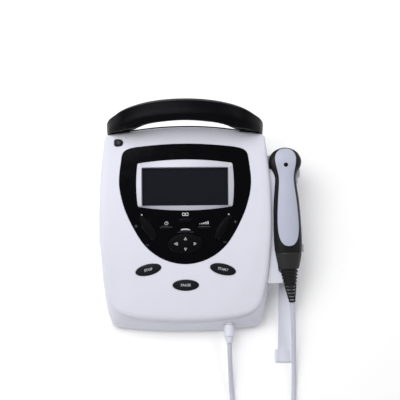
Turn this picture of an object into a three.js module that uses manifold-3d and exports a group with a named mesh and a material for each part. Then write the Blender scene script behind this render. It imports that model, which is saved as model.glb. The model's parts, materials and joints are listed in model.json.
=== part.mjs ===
// Ultrasound therapy device: a portable console with a sloping control panel and a carrying handle,
// an applicator lying in a holder on the console's right-hand side, and the applicator's lead.
// Units are millimetres, +Z is up, the user stands at -Y and looks along +Y.

import * as THREE from 'three';
import { mergeVertices } from 'three/addons/utils/BufferGeometryUtils.js';
import Module from 'manifold-3d';

const wasm = await Module();
wasm.setup();

// ---------------------------------------------------------------- driving dimensions

const GAP = 0.3; // clearance kept between fixed neighbours
const KEY_CLEARANCE = 0.6; // clearance round every moving key
const PANEL_TILT = THREE.MathUtils.degToRad(13.5);
const PANEL_ORIGIN = new THREE.Vector3(0, 8, 42); // front end of the panel's centre line
const WALL = 3;
const EDGE_RADIUS = 7; // rounding round the panel
const PARTING_DEPTH = 22; // top housing's height, square to the panel
const BASE_Z = 4; // underside of the console
const FOOT_RADIUS = 8;

// Half outlines, from the front centre round the right-hand side to the rear centre.
const PANEL_EDGE = [
  [0, 2], [42, 3.5], [76, 7.5], [99, 15], [111, 29], [118.5, 55], [124, 90], [127.3, 125],
  [128, 158], [127, 200], [123, 245], [120.6, 265], [117.5, 277], [78, 284.5], [40, 289], [0, 290.5],
];
const PARTING_EDGE = [
  [0, -8], [45, -7.3], [84, -4.5], [105.5, -1.5], [114, 8], [120.8, 38], [125.3, 76], [125.5, 115],
  [125.2, 152], [123.5, 197], [119.5, 242], [117, 265], [113, 275], [78, 281], [40, 285], [0, 286.5],
];
const BASE_EDGE = [
  [0, 1.4], [45, 2], [84, 5.5], [107.5, 8.6], [112.2, 13.5], [115.5, 45], [119, 85], [121, 125],
  [122, 155], [121, 195], [118, 240], [115, 262], [109, 272.5], [78, 279], [40, 282], [0, 283.5],
];
const LEDGE = { depth: 9.5, share: 0.68 }; // the body's outline just below the lid, between the two above it
const FASCIA_EDGE = [
  [0, 87], [32, 94], [59, 113.5], [83, 153], [93.5, 182], [97.5, 207], [95, 236], [91.5, 252],
  [84, 257.5], [45, 263], [0, 265],
];

const WINDOW = { width: 127, low: 173.5, high: 229 };
const FRAME = {
  side: 72.2, corner: 71, round: 2.8, lowCorner: 171, highCorner: 236.4, lowCentre: 166.2, highCentre: 241.5,
  foot: 0.65, top: 3, bevel: 1.5,
};

// Keys: their plan sizes, and how far they reach above and below the panel.
const KEY_HEIGHT = { foot: -4.6, top: 1.6, bevel: 0.9 };
const WIDE_KEY = { length: 38, width: 15.5 };
const SMALL_KEY = { length: 20, width: 7.5 };
const BACK_KEY = { length: 15.5, width: 4.6, top: 1.1 };
const ROCKER = { length: 40, width: 13, lean: 32, foot: -2.6, top: 1.8, bevel: 1.1 };
const NAV_PAD = { length: 50, width: 30, s: 117, foot: -1.9, top: 2, bevel: 1 };

const HANDLE_STATIONS = [
  // x, y, z, half width across the arch, half depth
  [100, 290, 60, 18, 13], [100, 290, 84, 18.5, 14], [99.5, 289, 105, 19, 15],
  [95, 290, 122, 18.5, 14.5], [82.5, 293.5, 136, 16, 14.5], [59, 298.5, 144, 13.5, 14.5],
  [30, 302, 148, 12.3, 15], [0, 303, 149.5, 12, 15],
];
const HANDLE_WALL = 3;
const SPLIT = { middleY: 303, bow: 13.5, halfSpan: 101 }; // the handle's split line bows forward to its legs

const SOCKET = { x: 64, z: 21, radius: 8, face: 8, depth: 16 };
const PLUG = { pinRadius: 3.9, gripRadius: 7, gripEnd: -10, end: -20 };
const PORT = { y: 154.5, z: 40, length: 50, height: 18 };
const DOOR = {
  outerX: -130, innerX: -126.2, hingeX: -126.6, hingeZ: 27.6, knuckle: 2.6, pin: 1.15, bore: 1.5,
};
const DC_INLET = { x: -58, z: 30, radius: 6, bore: 3.7 };

const APPLICATOR = { tipX: 155.5, tipY: 38.7, tipZ: 34, yaw: THREE.MathUtils.degToRad(1.7) };
const GRIP_STATIONS = [
  // distance along the applicator, half width, half thickness
  [75.3, 19.6, 15.5], [84, 20.4, 16.4], [100, 20.7, 17], [126, 20.1, 17], [153, 18.6, 16.4],
  [172, 16.5, 15.4], [187, 15.5, 14.6], [195, 18.2, 14.4], [202, 22.6, 14.2], [209, 24.5, 14],
  [217, 23.2, 13], [225, 17.8, 10.5], [229.5, 10.5, 7], [231.5, 3.5, 3],
];
const COLLAR_STATIONS = [[50, 14.6, 12.8], [58, 16.6, 13.9], [67, 18.6, 14.9], [74.9, 19.5, 15.4]];
const INSERT_EDGE = [
  // half width and distance along the applicator, from the tip near the lead to the head's end
  [0, 84.5], [7, 86.5], [12.5, 94], [15.2, 108], [15.4, 125], [13.7, 152.5], [11.7, 172], [11.05, 186],
  [12.8, 197], [15, 208], [15.5, 216], [13, 223.5], [7.5, 228.3], [0, 229.7],
];
const HEAD = { along: 205, radius: 18, neckRadius: 16.5, neckFoot: -27, face: -36, lensRadius: 2.9 };
const RELIEF = { length: 49.6, ribs: 10, pitch: 4.9, tipRadius: 4.6, taper: 0.18, bow: 2.7 };

const LEAD_RADIUS = 3.5;
const COIL = { x: 113, y: -178, meanRadius: 38.5, halfWidth: 7, height: 28 };

// ---------------------------------------------------------------- materials

const finish = (color, roughness, metalness = 0) => () =>
  new THREE.MeshStandardMaterial({ color, roughness, metalness });

const shellWhite = finish(0xe2e2ec, 0.42);
const holderWhite = finish(0xd6d6e2, 0.45);
const handleBlack = finish(0x121116, 0.38);
const glossBlack = finish(0x0d0d10, 0.12);
const keyBlack = finish(0x191a22, 0.4);
const frameSilver = finish(0xd8d8e4, 0.32, 0.35);
const windowDark = finish(0x1b1c21, 0.08);
const insertGrey = finish(0xb6bacb, 0.5);
const gripBlack = finish(0x121311, 0.55);
const collarGrey = finish(0x323232, 0.5);
const aluminium = finish(0xb9bcc0, 0.3, 0.9);
const brushedSteel = finish(0x9a9ca0, 0.35, 0.9);
const leadWhite = finish(0xc9ccdc, 0.5);
const boardGreen = finish(0x1f5a38, 0.6);
const rubberGrey = finish(0x55565a, 0.85);
const innerBlack = finish(0x202124, 0.6);
const batteryBlue = finish(0x31507a, 0.55);
const ceramicWhite = finish(0xe8e4da, 0.4);

// ---------------------------------------------------------------- geometry helpers

const WELD = 1e-4;

function toSolid(geometry) {
  const plain = geometry.clone();
  for (const name of ['normal', 'uv', 'color']) plain.deleteAttribute(name);
  const welded = mergeVertices(plain, WELD);
  return new wasm.Manifold(new wasm.Mesh({
    numProp: 3,
    vertProperties: new Float32Array(welded.attributes.position.array),
    triVerts: new Uint32Array(welded.index.array),
  }));
}

function toGeometry(solid) {
  const mesh = solid.getMesh();
  const geometry = new THREE.BufferGeometry();
  geometry.setAttribute('position', new THREE.BufferAttribute(mesh.vertProperties, 3));
  geometry.setIndex(new THREE.BufferAttribute(mesh.triVerts, 1));
  geometry.computeVertexNormals();
  return geometry;
}

const cut = (solid, ...tools) => tools.reduce((left, tool) => left.subtract(tool), solid);
const join = (solid, ...others) => others.reduce((sum, other) => sum.add(other), solid);

function place(geometry, x, y, z, turn = {}) {
  if (turn.x) geometry.rotateX(turn.x);
  if (turn.y) geometry.rotateY(turn.y);
  if (turn.z) geometry.rotateZ(turn.z);
  return geometry.translate(x, y, z);
}

// A box given by its low and high corners.
function block(low, high) {
  const size = high.map((value, axis) => value - low[axis]);
  const middle = high.map((value, axis) => (value + low[axis]) / 2);
  return place(new THREE.BoxGeometry(...size), ...middle);
}

// A cylinder about an axis parallel to X, Y or Z, from one coordinate to another on that axis.
function rod(axis, radius, from, to, x, y, z, sides = 16) {
  const geometry = new THREE.CylinderGeometry(radius, radius, to - from, sides);
  const turn = { x: { z: Math.PI / 2 }, y: {}, z: { x: Math.PI / 2 } }[axis];
  const middle = { x, y, z };
  middle[axis] = (from + to) / 2;
  return place(geometry, middle.x, middle.y, middle.z, turn);
}

// A closed skin through rings of equal length; each ring is star-shaped about its centroid and runs
// counter-clockwise as seen from the last ring's side.
function loft(rings) {
  const count = rings[0].length;
  const middle = (ring) => ring.reduce((sum, p) => sum.add(p), new THREE.Vector3()).divideScalar(count);
  const points = [...rings.flat(), middle(rings[0]), middle(rings.at(-1))];
  const lastRing = (rings.length - 1) * count;
  const startCentre = points.length - 2;
  const endCentre = points.length - 1;
  const index = [];
  for (let i = 0; i < count; i++) {
    const next = (i + 1) % count;
    for (let ring = 0; ring < lastRing; ring += count) {
      index.push(ring + i, ring + next, ring + count + next);
      index.push(ring + i, ring + count + next, ring + count + i);
    }
    index.push(startCentre, next, i);
    index.push(endCentre, lastRing + i, lastRing + next);
  }
  const geometry = new THREE.BufferGeometry().setFromPoints(points);
  geometry.setIndex(index);
  return geometry;
}

// The closed curve through a half outline and its mirror image, sampled evenly between its points.
function outlinePoints(half, perStep = 1) {
  const mirrored = half.slice(1, -1).reverse().map(([x, y]) => [-x, y]);
  const corners = [...half, ...mirrored].map(([x, y]) => new THREE.Vector3(x, y, 0));
  const curve = new THREE.CatmullRomCurve3(corners, true, 'centripetal');
  const points = curve.getPoints(corners.length * perStep).slice(0, -1);
  return points.map((p) => new THREE.Vector2(p.x, p.y));
}

// A closed outline moved outwards by a distance, or inwards where it is negative.
function grow(points, distance) {
  const count = points.length;
  return points.map((point, i) => {
    const along = points[(i + 1) % count].clone().sub(points[(i + count - 1) % count]).normalize();
    return new THREE.Vector2(point.x + along.y * distance, point.y - along.x * distance);
  });
}

const level = (points, height) => points.map((p) => new THREE.Vector3(p.x, p.y, height));
const between = (a, b, t) => a.map((p, i) => p.clone().lerp(b[i], t));

// A flat outline raised from one height to another, with a chamfered upper edge.
function slab(points, low, high, bevel = 0) {
  const rings = [level(points, low), level(points, high - bevel)];
  if (bevel) rings.push(level(grow(points, -bevel), high));
  return loft(rings);
}

function ellipse(length, width, sides = 20) {
  const curve = new THREE.EllipseCurve(0, 0, length / 2, width / 2);
  return curve.getPoints(sides).slice(0, -1);
}

function part(name, shape, material) {
  const geometry = shape instanceof THREE.BufferGeometry ? shape : toGeometry(shape);
  const mesh = new THREE.Mesh(geometry, material());
  mesh.name = name;
  return mesh;
}

// ---------------------------------------------------------------- the three frames

const device = new THREE.Group();
const panel = new THREE.Group();
panel.position.copy(PANEL_ORIGIN);
panel.rotation.x = PANEL_TILT;
const applicator = new THREE.Group();
applicator.position.set(APPLICATOR.tipX, APPLICATOR.tipY, APPLICATOR.tipZ);
applicator.rotation.set(PANEL_TILT, 0, APPLICATOR.yaw, 'ZXY');
device.add(panel, applicator);
panel.updateMatrix();
applicator.updateMatrix();

const fromPanel = (point) => point.clone().applyMatrix4(panel.matrix);
const panelToWorld = (solid) => solid.transform(panel.matrix.elements);
const worldToPanel = (solid) => solid.transform(panel.matrix.clone().invert().elements);
const worldToApplicator = (solid) => solid.transform(applicator.matrix.clone().invert().elements);

// ---------------------------------------------------------------- console housings

const panelEdge = outlinePoints(PANEL_EDGE);
const partingEdge = outlinePoints(PARTING_EDGE);
const baseEdge = outlinePoints(BASE_EDGE);

// The top housing's outer shape in the panel's frame, grown by a distance all round.
function topOuter(extra = 0) {
  const rings = [
    level(grow(partingEdge, extra), -PARTING_DEPTH - extra),
    level(grow(between(partingEdge, panelEdge, LEDGE.share), extra), -LEDGE.depth),
    level(grow(panelEdge, extra), -EDGE_RADIUS),
  ];
  for (const angle of [30, 60, 90].map(THREE.MathUtils.degToRad)) {
    const inset = EDGE_RADIUS * (1 - Math.cos(angle));
    const rise = EDGE_RADIUS * (Math.sin(angle) - 1) + extra;
    rings.push(level(grow(panelEdge, extra - inset), rise));
  }
  return toSolid(loft(rings));
}

function topInner() {
  return toSolid(loft([
    level(grow(partingEdge, -WALL), -PARTING_DEPTH - 1),
    level(grow(between(partingEdge, panelEdge, LEDGE.share), -WALL), -LEDGE.depth),
    level(grow(panelEdge, -WALL - 1), -EDGE_RADIUS),
    level(grow(panelEdge, -EDGE_RADIUS - 1), -WALL),
  ]));
}

// The bottom housing in the world frame: a loft from the base outline up to the sloping parting plane.
function bottomBody(extra, floor, topDepth) {
  const parting = level(grow(partingEdge, extra), -topDepth).map(fromPanel);
  const foot = [level(grow(baseEdge, extra - 2), floor), level(grow(baseEdge, extra), floor + 2.5)];
  return toSolid(loft([...foot, parting]));
}

const consoleClearance = join(panelToWorld(topOuter(GAP)), bottomBody(GAP, BASE_Z - GAP, PARTING_DEPTH));

const SCREW_PLACES = [[-92, 34], [92, 34], [-92, 246], [92, 246]];
const FOOT_PLACES = [[-84, 24], [84, 24], [-90, 262], [90, 262]];
const BATTERY = { low: [-60, 150, 7.6], high: [40, 232, 34] };

function bottomHousing() {
  const bosses = SCREW_PLACES.map(([x, y]) => toSolid(rod('z', 6, BASE_Z + 1, 22, x, y)));
  const bores = SCREW_PLACES.map(([x, y]) => toSolid(rod('z', 2.4, 0, 30, x, y)));
  const counterbores = SCREW_PLACES.map(([x, y]) => toSolid(rod('z', 4.3, 0, 9, x, y)));
  const hollow = bottomBody(-WALL, BASE_Z + WALL, PARTING_DEPTH - 2);
  const portLow = [-140, PORT.y - PORT.length / 2, PORT.z - PORT.height / 2];
  const portHigh = [-110, PORT.y + PORT.length / 2, PORT.z + PORT.height / 2];
  const batteryLow = [BATTERY.low[0] - 1, BATTERY.low[1] - 1, 0];
  const batteryHigh = [BATTERY.high[0] + 1, BATTERY.high[1] + 1, BASE_Z + WALL + 1];
  const openings = [
    toSolid(rod('y', SOCKET.radius + GAP, -10, 30, SOCKET.x, 0, SOCKET.z, 24)),
    toSolid(block(portLow, portHigh)),
    toSolid(rod('y', DC_INLET.radius + GAP, 270, 300, DC_INLET.x, 0, DC_INLET.z)),
    toSolid(block(batteryLow, batteryHigh)),
  ];
  for (let i = 0; i < 7; i++) {
    openings.push(toSolid(block([12 + i * 8, 270, 20], [15 + i * 8, 300, 48])));
  }
  const lugs = [-1, 1].map((side) => {
    const y = PORT.y + side * (PORT.length / 2 + 3.6);
    return toSolid(block([-129, y - 1.6, DOOR.hingeZ - 2.4], [-118, y + 1.6, DOOR.hingeZ + 2.4]));
  });
  const pinHole = toSolid(rod('y', DOOR.bore, PORT.y - 40, PORT.y + 40, DOOR.hingeX, 0, DOOR.hingeZ));
  const shell = cut(bottomBody(0, BASE_Z, PARTING_DEPTH + GAP), hollow);
  return cut(join(shell, ...bosses, ...lugs), ...bores, ...counterbores, ...openings, pinHole);
}

// ---------------------------------------------------------------- panel keys and display

const KEYS = {
  stop_key: { u: -55, s: 79, turn: 13, shape: ellipse(WIDE_KEY.length, WIDE_KEY.width) },
  pause_key: { u: 0, s: 56, turn: 0, shape: ellipse(WIDE_KEY.length, WIDE_KEY.width) },
  start_key: { u: 55, s: 79, turn: -13, shape: ellipse(WIDE_KEY.length, WIDE_KEY.width) },
  power_key: { u: -98, s: 267, turn: 0, shape: powerKeyOutline() },
  library_key: { u: 0, s: 151.5, turn: 0, shape: ellipse(SMALL_KEY.length, SMALL_KEY.width) },
  time_key: { u: -28, s: 141, turn: 0, shape: ellipse(SMALL_KEY.length, SMALL_KEY.width) },
  dose_key: { u: 28, s: 141, turn: 0, shape: ellipse(SMALL_KEY.length, SMALL_KEY.width) },
  back_key: { u: 0, s: 137, turn: 0, shape: ellipse(BACK_KEY.length, BACK_KEY.width) },
};

// The power key is round on its right-hand side and squared off towards the corner of the panel.
function powerKeyOutline() {
  const half = [[-6.2, 0], [-6, -3.6], [-4, -4.9], [1, -4.9], [4.8, -3.4], [6.2, 0]];
  const mirrored = half.slice(1, -1).reverse().map(([x, y]) => [x, -y]);
  const points = [...half, ...mirrored].map(([x, y]) => new THREE.Vector3(x, y, 0));
  const curve = new THREE.CatmullRomCurve3(points, true, 'centripetal');
  return curve.getPoints(points.length * 2).slice(0, -1).map((p) => new THREE.Vector2(p.x, p.y));
}

function keySolid(key, growth, low, high, bevel) {
  const geometry = slab(grow(key.shape, growth), low, high, bevel);
  return place(geometry, key.u, key.s, 0, { z: THREE.MathUtils.degToRad(key.turn) });
}

const ROCKERS = {
  left_rocker: { u: -55.3, s: 140.8, turn: 90 + ROCKER.lean, shape: ellipse(ROCKER.length, ROCKER.width) },
  right_rocker: { u: 55.3, s: 140.8, turn: 90 - ROCKER.lean, shape: ellipse(ROCKER.length, ROCKER.width) },
};
const NAV = { u: 0, s: NAV_PAD.s, turn: 0, shape: ellipse(NAV_PAD.length, NAV_PAD.width, 24) };
const ON_WHITE = ['stop_key', 'pause_key', 'start_key', 'power_key'];

const fasciaEdge = outlinePoints(FASCIA_EDGE, 2);

function frameOutline() {
  const middle = (FRAME.lowCorner + FRAME.highCorner) / 2;
  return outlinePoints([
    [0, FRAME.lowCentre], [45, FRAME.lowCentre + 2], [FRAME.corner - FRAME.round, FRAME.lowCorner],
    [FRAME.corner, FRAME.lowCorner + FRAME.round], [FRAME.side, middle],
    [FRAME.corner, FRAME.highCorner - FRAME.round], [FRAME.corner - FRAME.round, FRAME.highCorner],
    [45, FRAME.highCentre - 2], [0, FRAME.highCentre],
  ]);
}

const windowBlock = (growth, low, high) => toSolid(block(
  [-WINDOW.width / 2 - growth, WINDOW.low - growth, low],
  [WINDOW.width / 2 + growth, WINDOW.high + growth, high],
));

function keyHoles(keys, low, high) {
  return keys.map((key) => toSolid(keySolid(key, KEY_CLEARANCE, low, high, 0)));
}

const fasciaKeys = [
  ...Object.entries(KEYS).filter(([name]) => !ON_WHITE.includes(name)).map(([, key]) => key),
  ...Object.values(ROCKERS),
  NAV,
];
const whiteKeys = ON_WHITE.map((name) => KEYS[name]);

function topHousing() {
  const recess = toSolid(slab(grow(fasciaEdge, GAP), -1.2, 2));
  const holes = keyHoles([...fasciaKeys, ...whiteKeys], -10, 2);
  const socketHole = toSolid(rod('y', SOCKET.radius + GAP, -10, 30, SOCKET.x, 0, SOCKET.z, 24));
  return cut(topOuter(), topInner(), recess, windowBlock(GAP, -10, 2), worldToPanel(socketHole), ...holes);
}

function fasciaPanel() {
  const sheet = toSolid(slab(fasciaEdge, -0.9, 0.35, 0.3));
  return cut(sheet, windowBlock(GAP, -5, 5), ...keyHoles(fasciaKeys, -5, 5));
}

function displayFrame() {
  const ring = toSolid(slab(frameOutline(), FRAME.foot, FRAME.top, FRAME.bevel));
  return cut(ring, windowBlock(-0.5, -5, 5));
}

function buildPanel() {
  panel.add(part('top_housing', topHousing(), shellWhite));
  panel.add(part('fascia_panel', fasciaPanel(), glossBlack));
  panel.add(part('display_frame', displayFrame(), frameSilver));
  panel.add(part('display_window', windowBlock(0, -1.3, 0.1), windowDark));
  const lcdLow = [-WINDOW.width / 2 - 4, WINDOW.low - 4, -12];
  const lcdHigh = [WINDOW.width / 2 + 4, WINDOW.high + 4, -3.4];
  panel.add(part('lcd_module', block(lcdLow, lcdHigh), innerBlack));
  panel.add(part('key_mat', block([-80, 44, -8], [80, 164, -6.2]), rubberGrey));
  panel.add(part('keyboard_pcb', block([-84, 42, -10], [84, 166, -8.4]), boardGreen));
  for (const [name, key] of Object.entries(KEYS)) {
    const top = name === 'back_key' ? BACK_KEY.top : KEY_HEIGHT.top;
    const material = name === 'back_key' ? frameSilver : keyBlack;
    panel.add(part(name, keySolid(key, 0, KEY_HEIGHT.foot, top, KEY_HEIGHT.bevel), material));
  }
  for (const [name, key] of Object.entries(ROCKERS)) {
    panel.add(part(name, keySolid(key, 0, ROCKER.foot, ROCKER.top, ROCKER.bevel), keyBlack));
  }
  panel.add(part('nav_pad', keySolid(NAV, 0, NAV_PAD.foot, NAV_PAD.top, NAV_PAD.bevel), keyBlack));
  const gimbal = cut(
    toSolid(slab(ellipse(20, 20), -4.9, -3.4)),
    toSolid(slab(ellipse(12, 12), -6, -2)),
  );
  panel.add(part('nav_gimbal', gimbal.translate([0, NAV_PAD.s, 0]), innerBlack));
  panel.add(part('display_ribbon_cable', block([-20, 185, -40], [20, 186, -12.4]), leadWhite));
}

// ---------------------------------------------------------------- carrying handle

const HALF_REACH = 60; // reaches past the arch on either side of its split line

// An arch behind the console's rear edge: sections square to the path, deeper than they are thick.
function handleArch(shrink) {
  const left = HANDLE_STATIONS.map(([x, ...rest]) => [-x, ...rest]);
  const stations = [...left, ...HANDLE_STATIONS.slice(0, -1).reverse()];
  const curveOf = (pick) => new THREE.CatmullRomCurve3(stations.map(pick), false, 'centripetal');
  const path = curveOf((s) => new THREE.Vector3(s[0], s[1], s[2]));
  const sizes = curveOf((s) => new THREE.Vector3(s[3], s[4], s[0]));
  const steps = stations.length + 3;
  const rings = [];
  for (let i = 0; i <= steps; i++) {
    const t = i / steps;
    const tangent = path.getTangent(t);
    const overrun = shrink * (Number(i === steps) - Number(i === 0));
    const centre = path.getPoint(t).addScaledVector(tangent, overrun);
    const size = sizes.getPoint(t);
    const depth = new THREE.Vector3(0, 1, -0.12).addScaledVector(tangent, -tangent.y).normalize();
    const across = new THREE.Vector3().crossVectors(depth, tangent).normalize();
    rings.push(roundedSection(centre, across, depth, size.x - shrink, size.y - shrink, 12, 0.6));
  }
  return toSolid(loft(rings));
}

// A superellipse ring about a centre, counter-clockwise about the cross product of its two axes.
function roundedSection(centre, sideways, upwards, halfWidth, halfHeight, sides, squareness = 0.75) {
  const ring = [];
  for (let i = 0; i < sides; i++) {
    const angle = (i / sides) * Math.PI * 2;
    const bend = (value) => Math.sign(value) * Math.abs(value) ** squareness;
    ring.push(centre.clone()
      .addScaledVector(sideways, halfWidth * bend(Math.cos(angle)))
      .addScaledVector(upwards, halfHeight * bend(Math.sin(angle))));
  }
  return ring;
}

// The black strip that joins the handle's legs along the console's rear edge.
function rearStrip() {
  const outer = toSolid(slab(grow(panelEdge, 3.2), -15, -6));
  const keep = toSolid(block([-90, 262, -20], [90, 310, 0]));
  return panelToWorld(outer.intersect(keep));
}

// The space above the panel, which the handle's legs stand behind.
function abovePanel() {
  return panelToWorld(toSolid(slab(grow(panelEdge, GAP), -PARTING_DEPTH, 60)));
}

function buildHandle() {
  const arch = cut(handleArch(0), abovePanel());
  const hollow = handleArch(HANDLE_WALL);
  const frontHalf = halfBeside(-HALF_REACH, -GAP / 2);
  const rearHalf = halfBeside(GAP / 2, HALF_REACH);
  const front = cut(join(arch.intersect(frontHalf), rearStrip()), hollow, consoleClearance);
  const rear = cut(arch.intersect(rearHalf), hollow, consoleClearance, rearStrip());
  device.add(part('handle_front_shell', front, handleBlack));
  device.add(part('handle_rear_shell', rear, handleBlack));
}

// The space from one distance behind the handle's split line to another.
function halfBeside(from, to) {
  const lineY = (x) => SPLIT.middleY - SPLIT.bow * (x / SPLIT.halfSpan) ** 2;
  const near = [];
  const distant = [];
  for (let x = -140; x <= 140; x += 20) {
    near.push(new THREE.Vector2(x, lineY(x) + from));
    distant.push(new THREE.Vector2(x, lineY(x) + to));
  }
  const shape = new THREE.Shape([...near, ...distant.reverse()]);
  return toSolid(new THREE.ExtrudeGeometry(shape, { depth: 200, bevelEnabled: false }));
}

// ---------------------------------------------------------------- inside the console

function heatSink() {
  const fins = [];
  for (let i = 0; i < 6; i++) fins.push(toSolid(block([62, 196 + i * 8, 16], [98, 198.5 + i * 8, 40])));
  return join(toSolid(block([62, 196, 12], [98, 238.5, 17])), ...fins);
}

function buildInside() {
  device.add(part('main_pcb', block([-84, 48, 12], [60, 138, 13.6]), boardGreen));
  device.add(part('generator_pcb', block([50, 150, 10], [104, 238, 11.6]), boardGreen));
  device.add(part('heat_sink', heatSink(), aluminium));
  device.add(part('output_transformer', rod('z', 14, 12, 32, 78, 170, 0, 24), innerBlack));
  device.add(part('buzzer', rod('z', 7, 14, 22, -60, 120, 0), innerBlack));
  device.add(part('battery_pack', block(BATTERY.low, BATTERY.high), batteryBlue));
  device.add(part('battery_cover', block([-60.6, 149.4, BASE_Z + 0.4], [40.6, 232.6, 7.2]), shellWhite));
  device.add(part('dc_inlet', dcInlet(), innerBlack));
  device.add(part('data_port_connector', dataPort(), innerBlack));
  SCREW_PLACES.forEach(([x, y], i) => {
    const screw = join(toSolid(rod('z', 3.7, 5.4, 8.6, x, y)), toSolid(rod('z', 1.9, 8, 21, x, y, 0, 12)));
    device.add(part(`housing_screw_${i + 1}`, screw, brushedSteel));
  });
  FOOT_PLACES.forEach(([x, y], i) => {
    const foot = new THREE.CylinderGeometry(FOOT_RADIUS, FOOT_RADIUS - 1, BASE_Z - GAP, 24);
    const placed = place(foot, x, y, (BASE_Z - GAP) / 2, { x: Math.PI / 2 });
    device.add(part(`rubber_foot_${i + 1}`, placed, rubberGrey));
  });
}

function dcInlet() {
  const barrel = toSolid(rod('y', DC_INLET.radius, 262, 282.6, DC_INLET.x, 0, DC_INLET.z));
  return cut(barrel, toSolid(rod('y', DC_INLET.bore, 270, 290, DC_INLET.x, 0, DC_INLET.z)));
}

function dataPort() {
  const body = toSolid(block([-121, PORT.y - 16, PORT.z - 7], [-106, PORT.y + 16, PORT.z + 7]));
  return cut(body, toSolid(block([-122, PORT.y - 13, PORT.z - 4], [-115, PORT.y + 13, PORT.z + 4])));
}

function buildPortDoor() {
  const half = PORT.length / 2 + 1.6;
  const low = [DOOR.outerX, PORT.y - half, DOOR.hingeZ + 2.2];
  const plate = toSolid(block(low, [DOOR.innerX, PORT.y + half, PORT.z + PORT.height / 2 + 1.5]));
  const knuckle = toSolid(rod('y', DOOR.knuckle, PORT.y - half, PORT.y + half, DOOR.hingeX, 0, DOOR.hingeZ));
  const web = toSolid(block(
    [DOOR.outerX + 1, PORT.y - half, DOOR.hingeZ],
    [DOOR.hingeX, PORT.y + half, DOOR.hingeZ + 3],
  ));
  const bore = toSolid(rod('y', DOOR.bore, PORT.y - 60, PORT.y + 60, DOOR.hingeX, 0, DOOR.hingeZ));
  device.add(part('port_door', cut(join(plate, knuckle, web), bore), shellWhite));
  const pin = rod('y', DOOR.pin, PORT.y - half - 4, PORT.y + half + 4, DOOR.hingeX, 0, DOOR.hingeZ, 12);
  device.add(part('port_door_pin', pin, brushedSteel));
}

// ---------------------------------------------------------------- socket, plug and lead

function turned(profile, sides, x, y, z) {
  const points = profile.map(([radius, along]) => new THREE.Vector2(radius, along));
  return place(new THREE.LatheGeometry(points, sides), x, y, z);
}

function buildSocket() {
  const outer = SOCKET.radius - 0.2;
  const bore = PLUG.pinRadius + 0.4;
  const floor = SOCKET.face + 6;
  const end = SOCKET.face + SOCKET.depth;
  const profile = [
    [bore, SOCKET.face], [outer, SOCKET.face], [outer, end], [0, end], [0, floor], [bore, floor],
    [bore, SOCKET.face],
  ];
  device.add(part('applicator_socket', turned(profile, 24, SOCKET.x, 0, SOCKET.z), innerBlack));
}

// A pin in the socket, a grip, a ring and a tapered strain relief.
function buildPlug() {
  const shoulder = SOCKET.face - GAP;
  const profile = [
    [0, shoulder + 5.5], [PLUG.pinRadius, shoulder + 5.5], [PLUG.pinRadius, shoulder],
    [PLUG.gripRadius, shoulder], [PLUG.gripRadius + 0.2, PLUG.gripEnd], [5.6, PLUG.gripEnd - 1],
    [5.9, PLUG.gripEnd - 3.5], [5.1, PLUG.gripEnd - 4.2], [4.9, PLUG.end + 1.5], [4, PLUG.end], [0, PLUG.end],
  ];
  device.add(part('lead_plug', turned(profile.toReversed(), 20, SOCKET.x, 0, SOCKET.z), leadWhite));
}

// Lead routes, from the applicator's bend relief to the coil and from the plug to the coil.
const APPLICATOR_RUN = [
  [158.4, 38, 33.8], [158.7, 30, 31.8], [159.1, 18, 28.6], [159.5, 4, 24.6], [159.8, -12, 19.8],
  [160, -30, 14.4], [159.9, -50, 9.2], [159.6, -70, 5.4], [158.8, -90, 3.8], [157.7, -110, 3.6],
  [156.4, -128, 3.6], [155.4, -141, 3.6], [155, -152, 3.6],
];
const PLUG_RUN = [
  [64, -20.3, 21], [64.1, -30, 20.2], [64.5, -44, 17], [65.1, -60, 12], [66, -78, 7], [67.1, -96, 4.4],
  [68.4, -112, 5.6], [69.8, -128, 12], [70.7, -141, 19.5], [71, -152, 24],
];

function leadTube(name, route) {
  const points = route.map(([x, y, z]) => new THREE.Vector3(x, y, z));
  const extrudePath = new THREE.CatmullRomCurve3(points, false, 'centripetal');
  const section = new THREE.Shape(new THREE.EllipseCurve(0, 0, LEAD_RADIUS, LEAD_RADIUS).getPoints(8));
  const steps = Math.round(extrudePath.getLength() / (LEAD_RADIUS * 5));
  const tube = new THREE.ExtrudeGeometry(section, { steps, extrudePath, bevelEnabled: false });
  return part(name, tube, leadWhite);
}

function leadCoil() {
  const inner = COIL.meanRadius - COIL.halfWidth;
  const outer = COIL.meanRadius + COIL.halfWidth;
  const profile = [
    [inner, 0], [outer, 0], [outer, COIL.height], [inner, COIL.height], [inner, 0],
  ].map(([radius, height]) => new THREE.Vector2(radius, height));
  return place(new THREE.LatheGeometry(profile, 32), COIL.x, COIL.y, 0.1, { x: Math.PI / 2 });
}

function buildLead() {
  device.add(leadTube('lead_applicator_run', APPLICATOR_RUN));
  device.add(leadTube('lead_plug_run', PLUG_RUN));
  device.add(part('lead_coil', leadCoil(), leadWhite));
}

// ---------------------------------------------------------------- applicator

const ALONG = new THREE.Vector3(0, 1, 0);

// The grip's body: x across, y along from the lead's end, z out of the side with the pale insert.
function gripBody(shrink) {
  const across = new THREE.Vector3(1, 0, 0);
  const up = new THREE.Vector3(0, 0, 1);
  const rings = GRIP_STATIONS.map(([along, halfWidth, halfThickness], i) => {
    const end = i === 0 ? Math.min(shrink, 0) : 0;
    const centre = ALONG.clone().multiplyScalar(along + end);
    const width = Math.max(halfWidth - shrink, 0.6);
    const thickness = Math.max(halfThickness - shrink, 0.5);
    return roundedSection(centre, across, up, width, thickness, 16, 0.85).reverse();
  });
  return toSolid(loft(rings));
}

function insertPrism(growth) {
  return toSolid(slab(grow(outlinePoints(INSERT_EDGE), growth), 2, 40));
}

const lensHole = () => toSolid(rod('z', HEAD.lensRadius + GAP + 0.1, 5, 30, 0, HEAD.along, 0));

function headStep(radius, low, high) {
  return toSolid(rod('z', radius, low, high, 0, HEAD.along, 0, 28));
}

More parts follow.
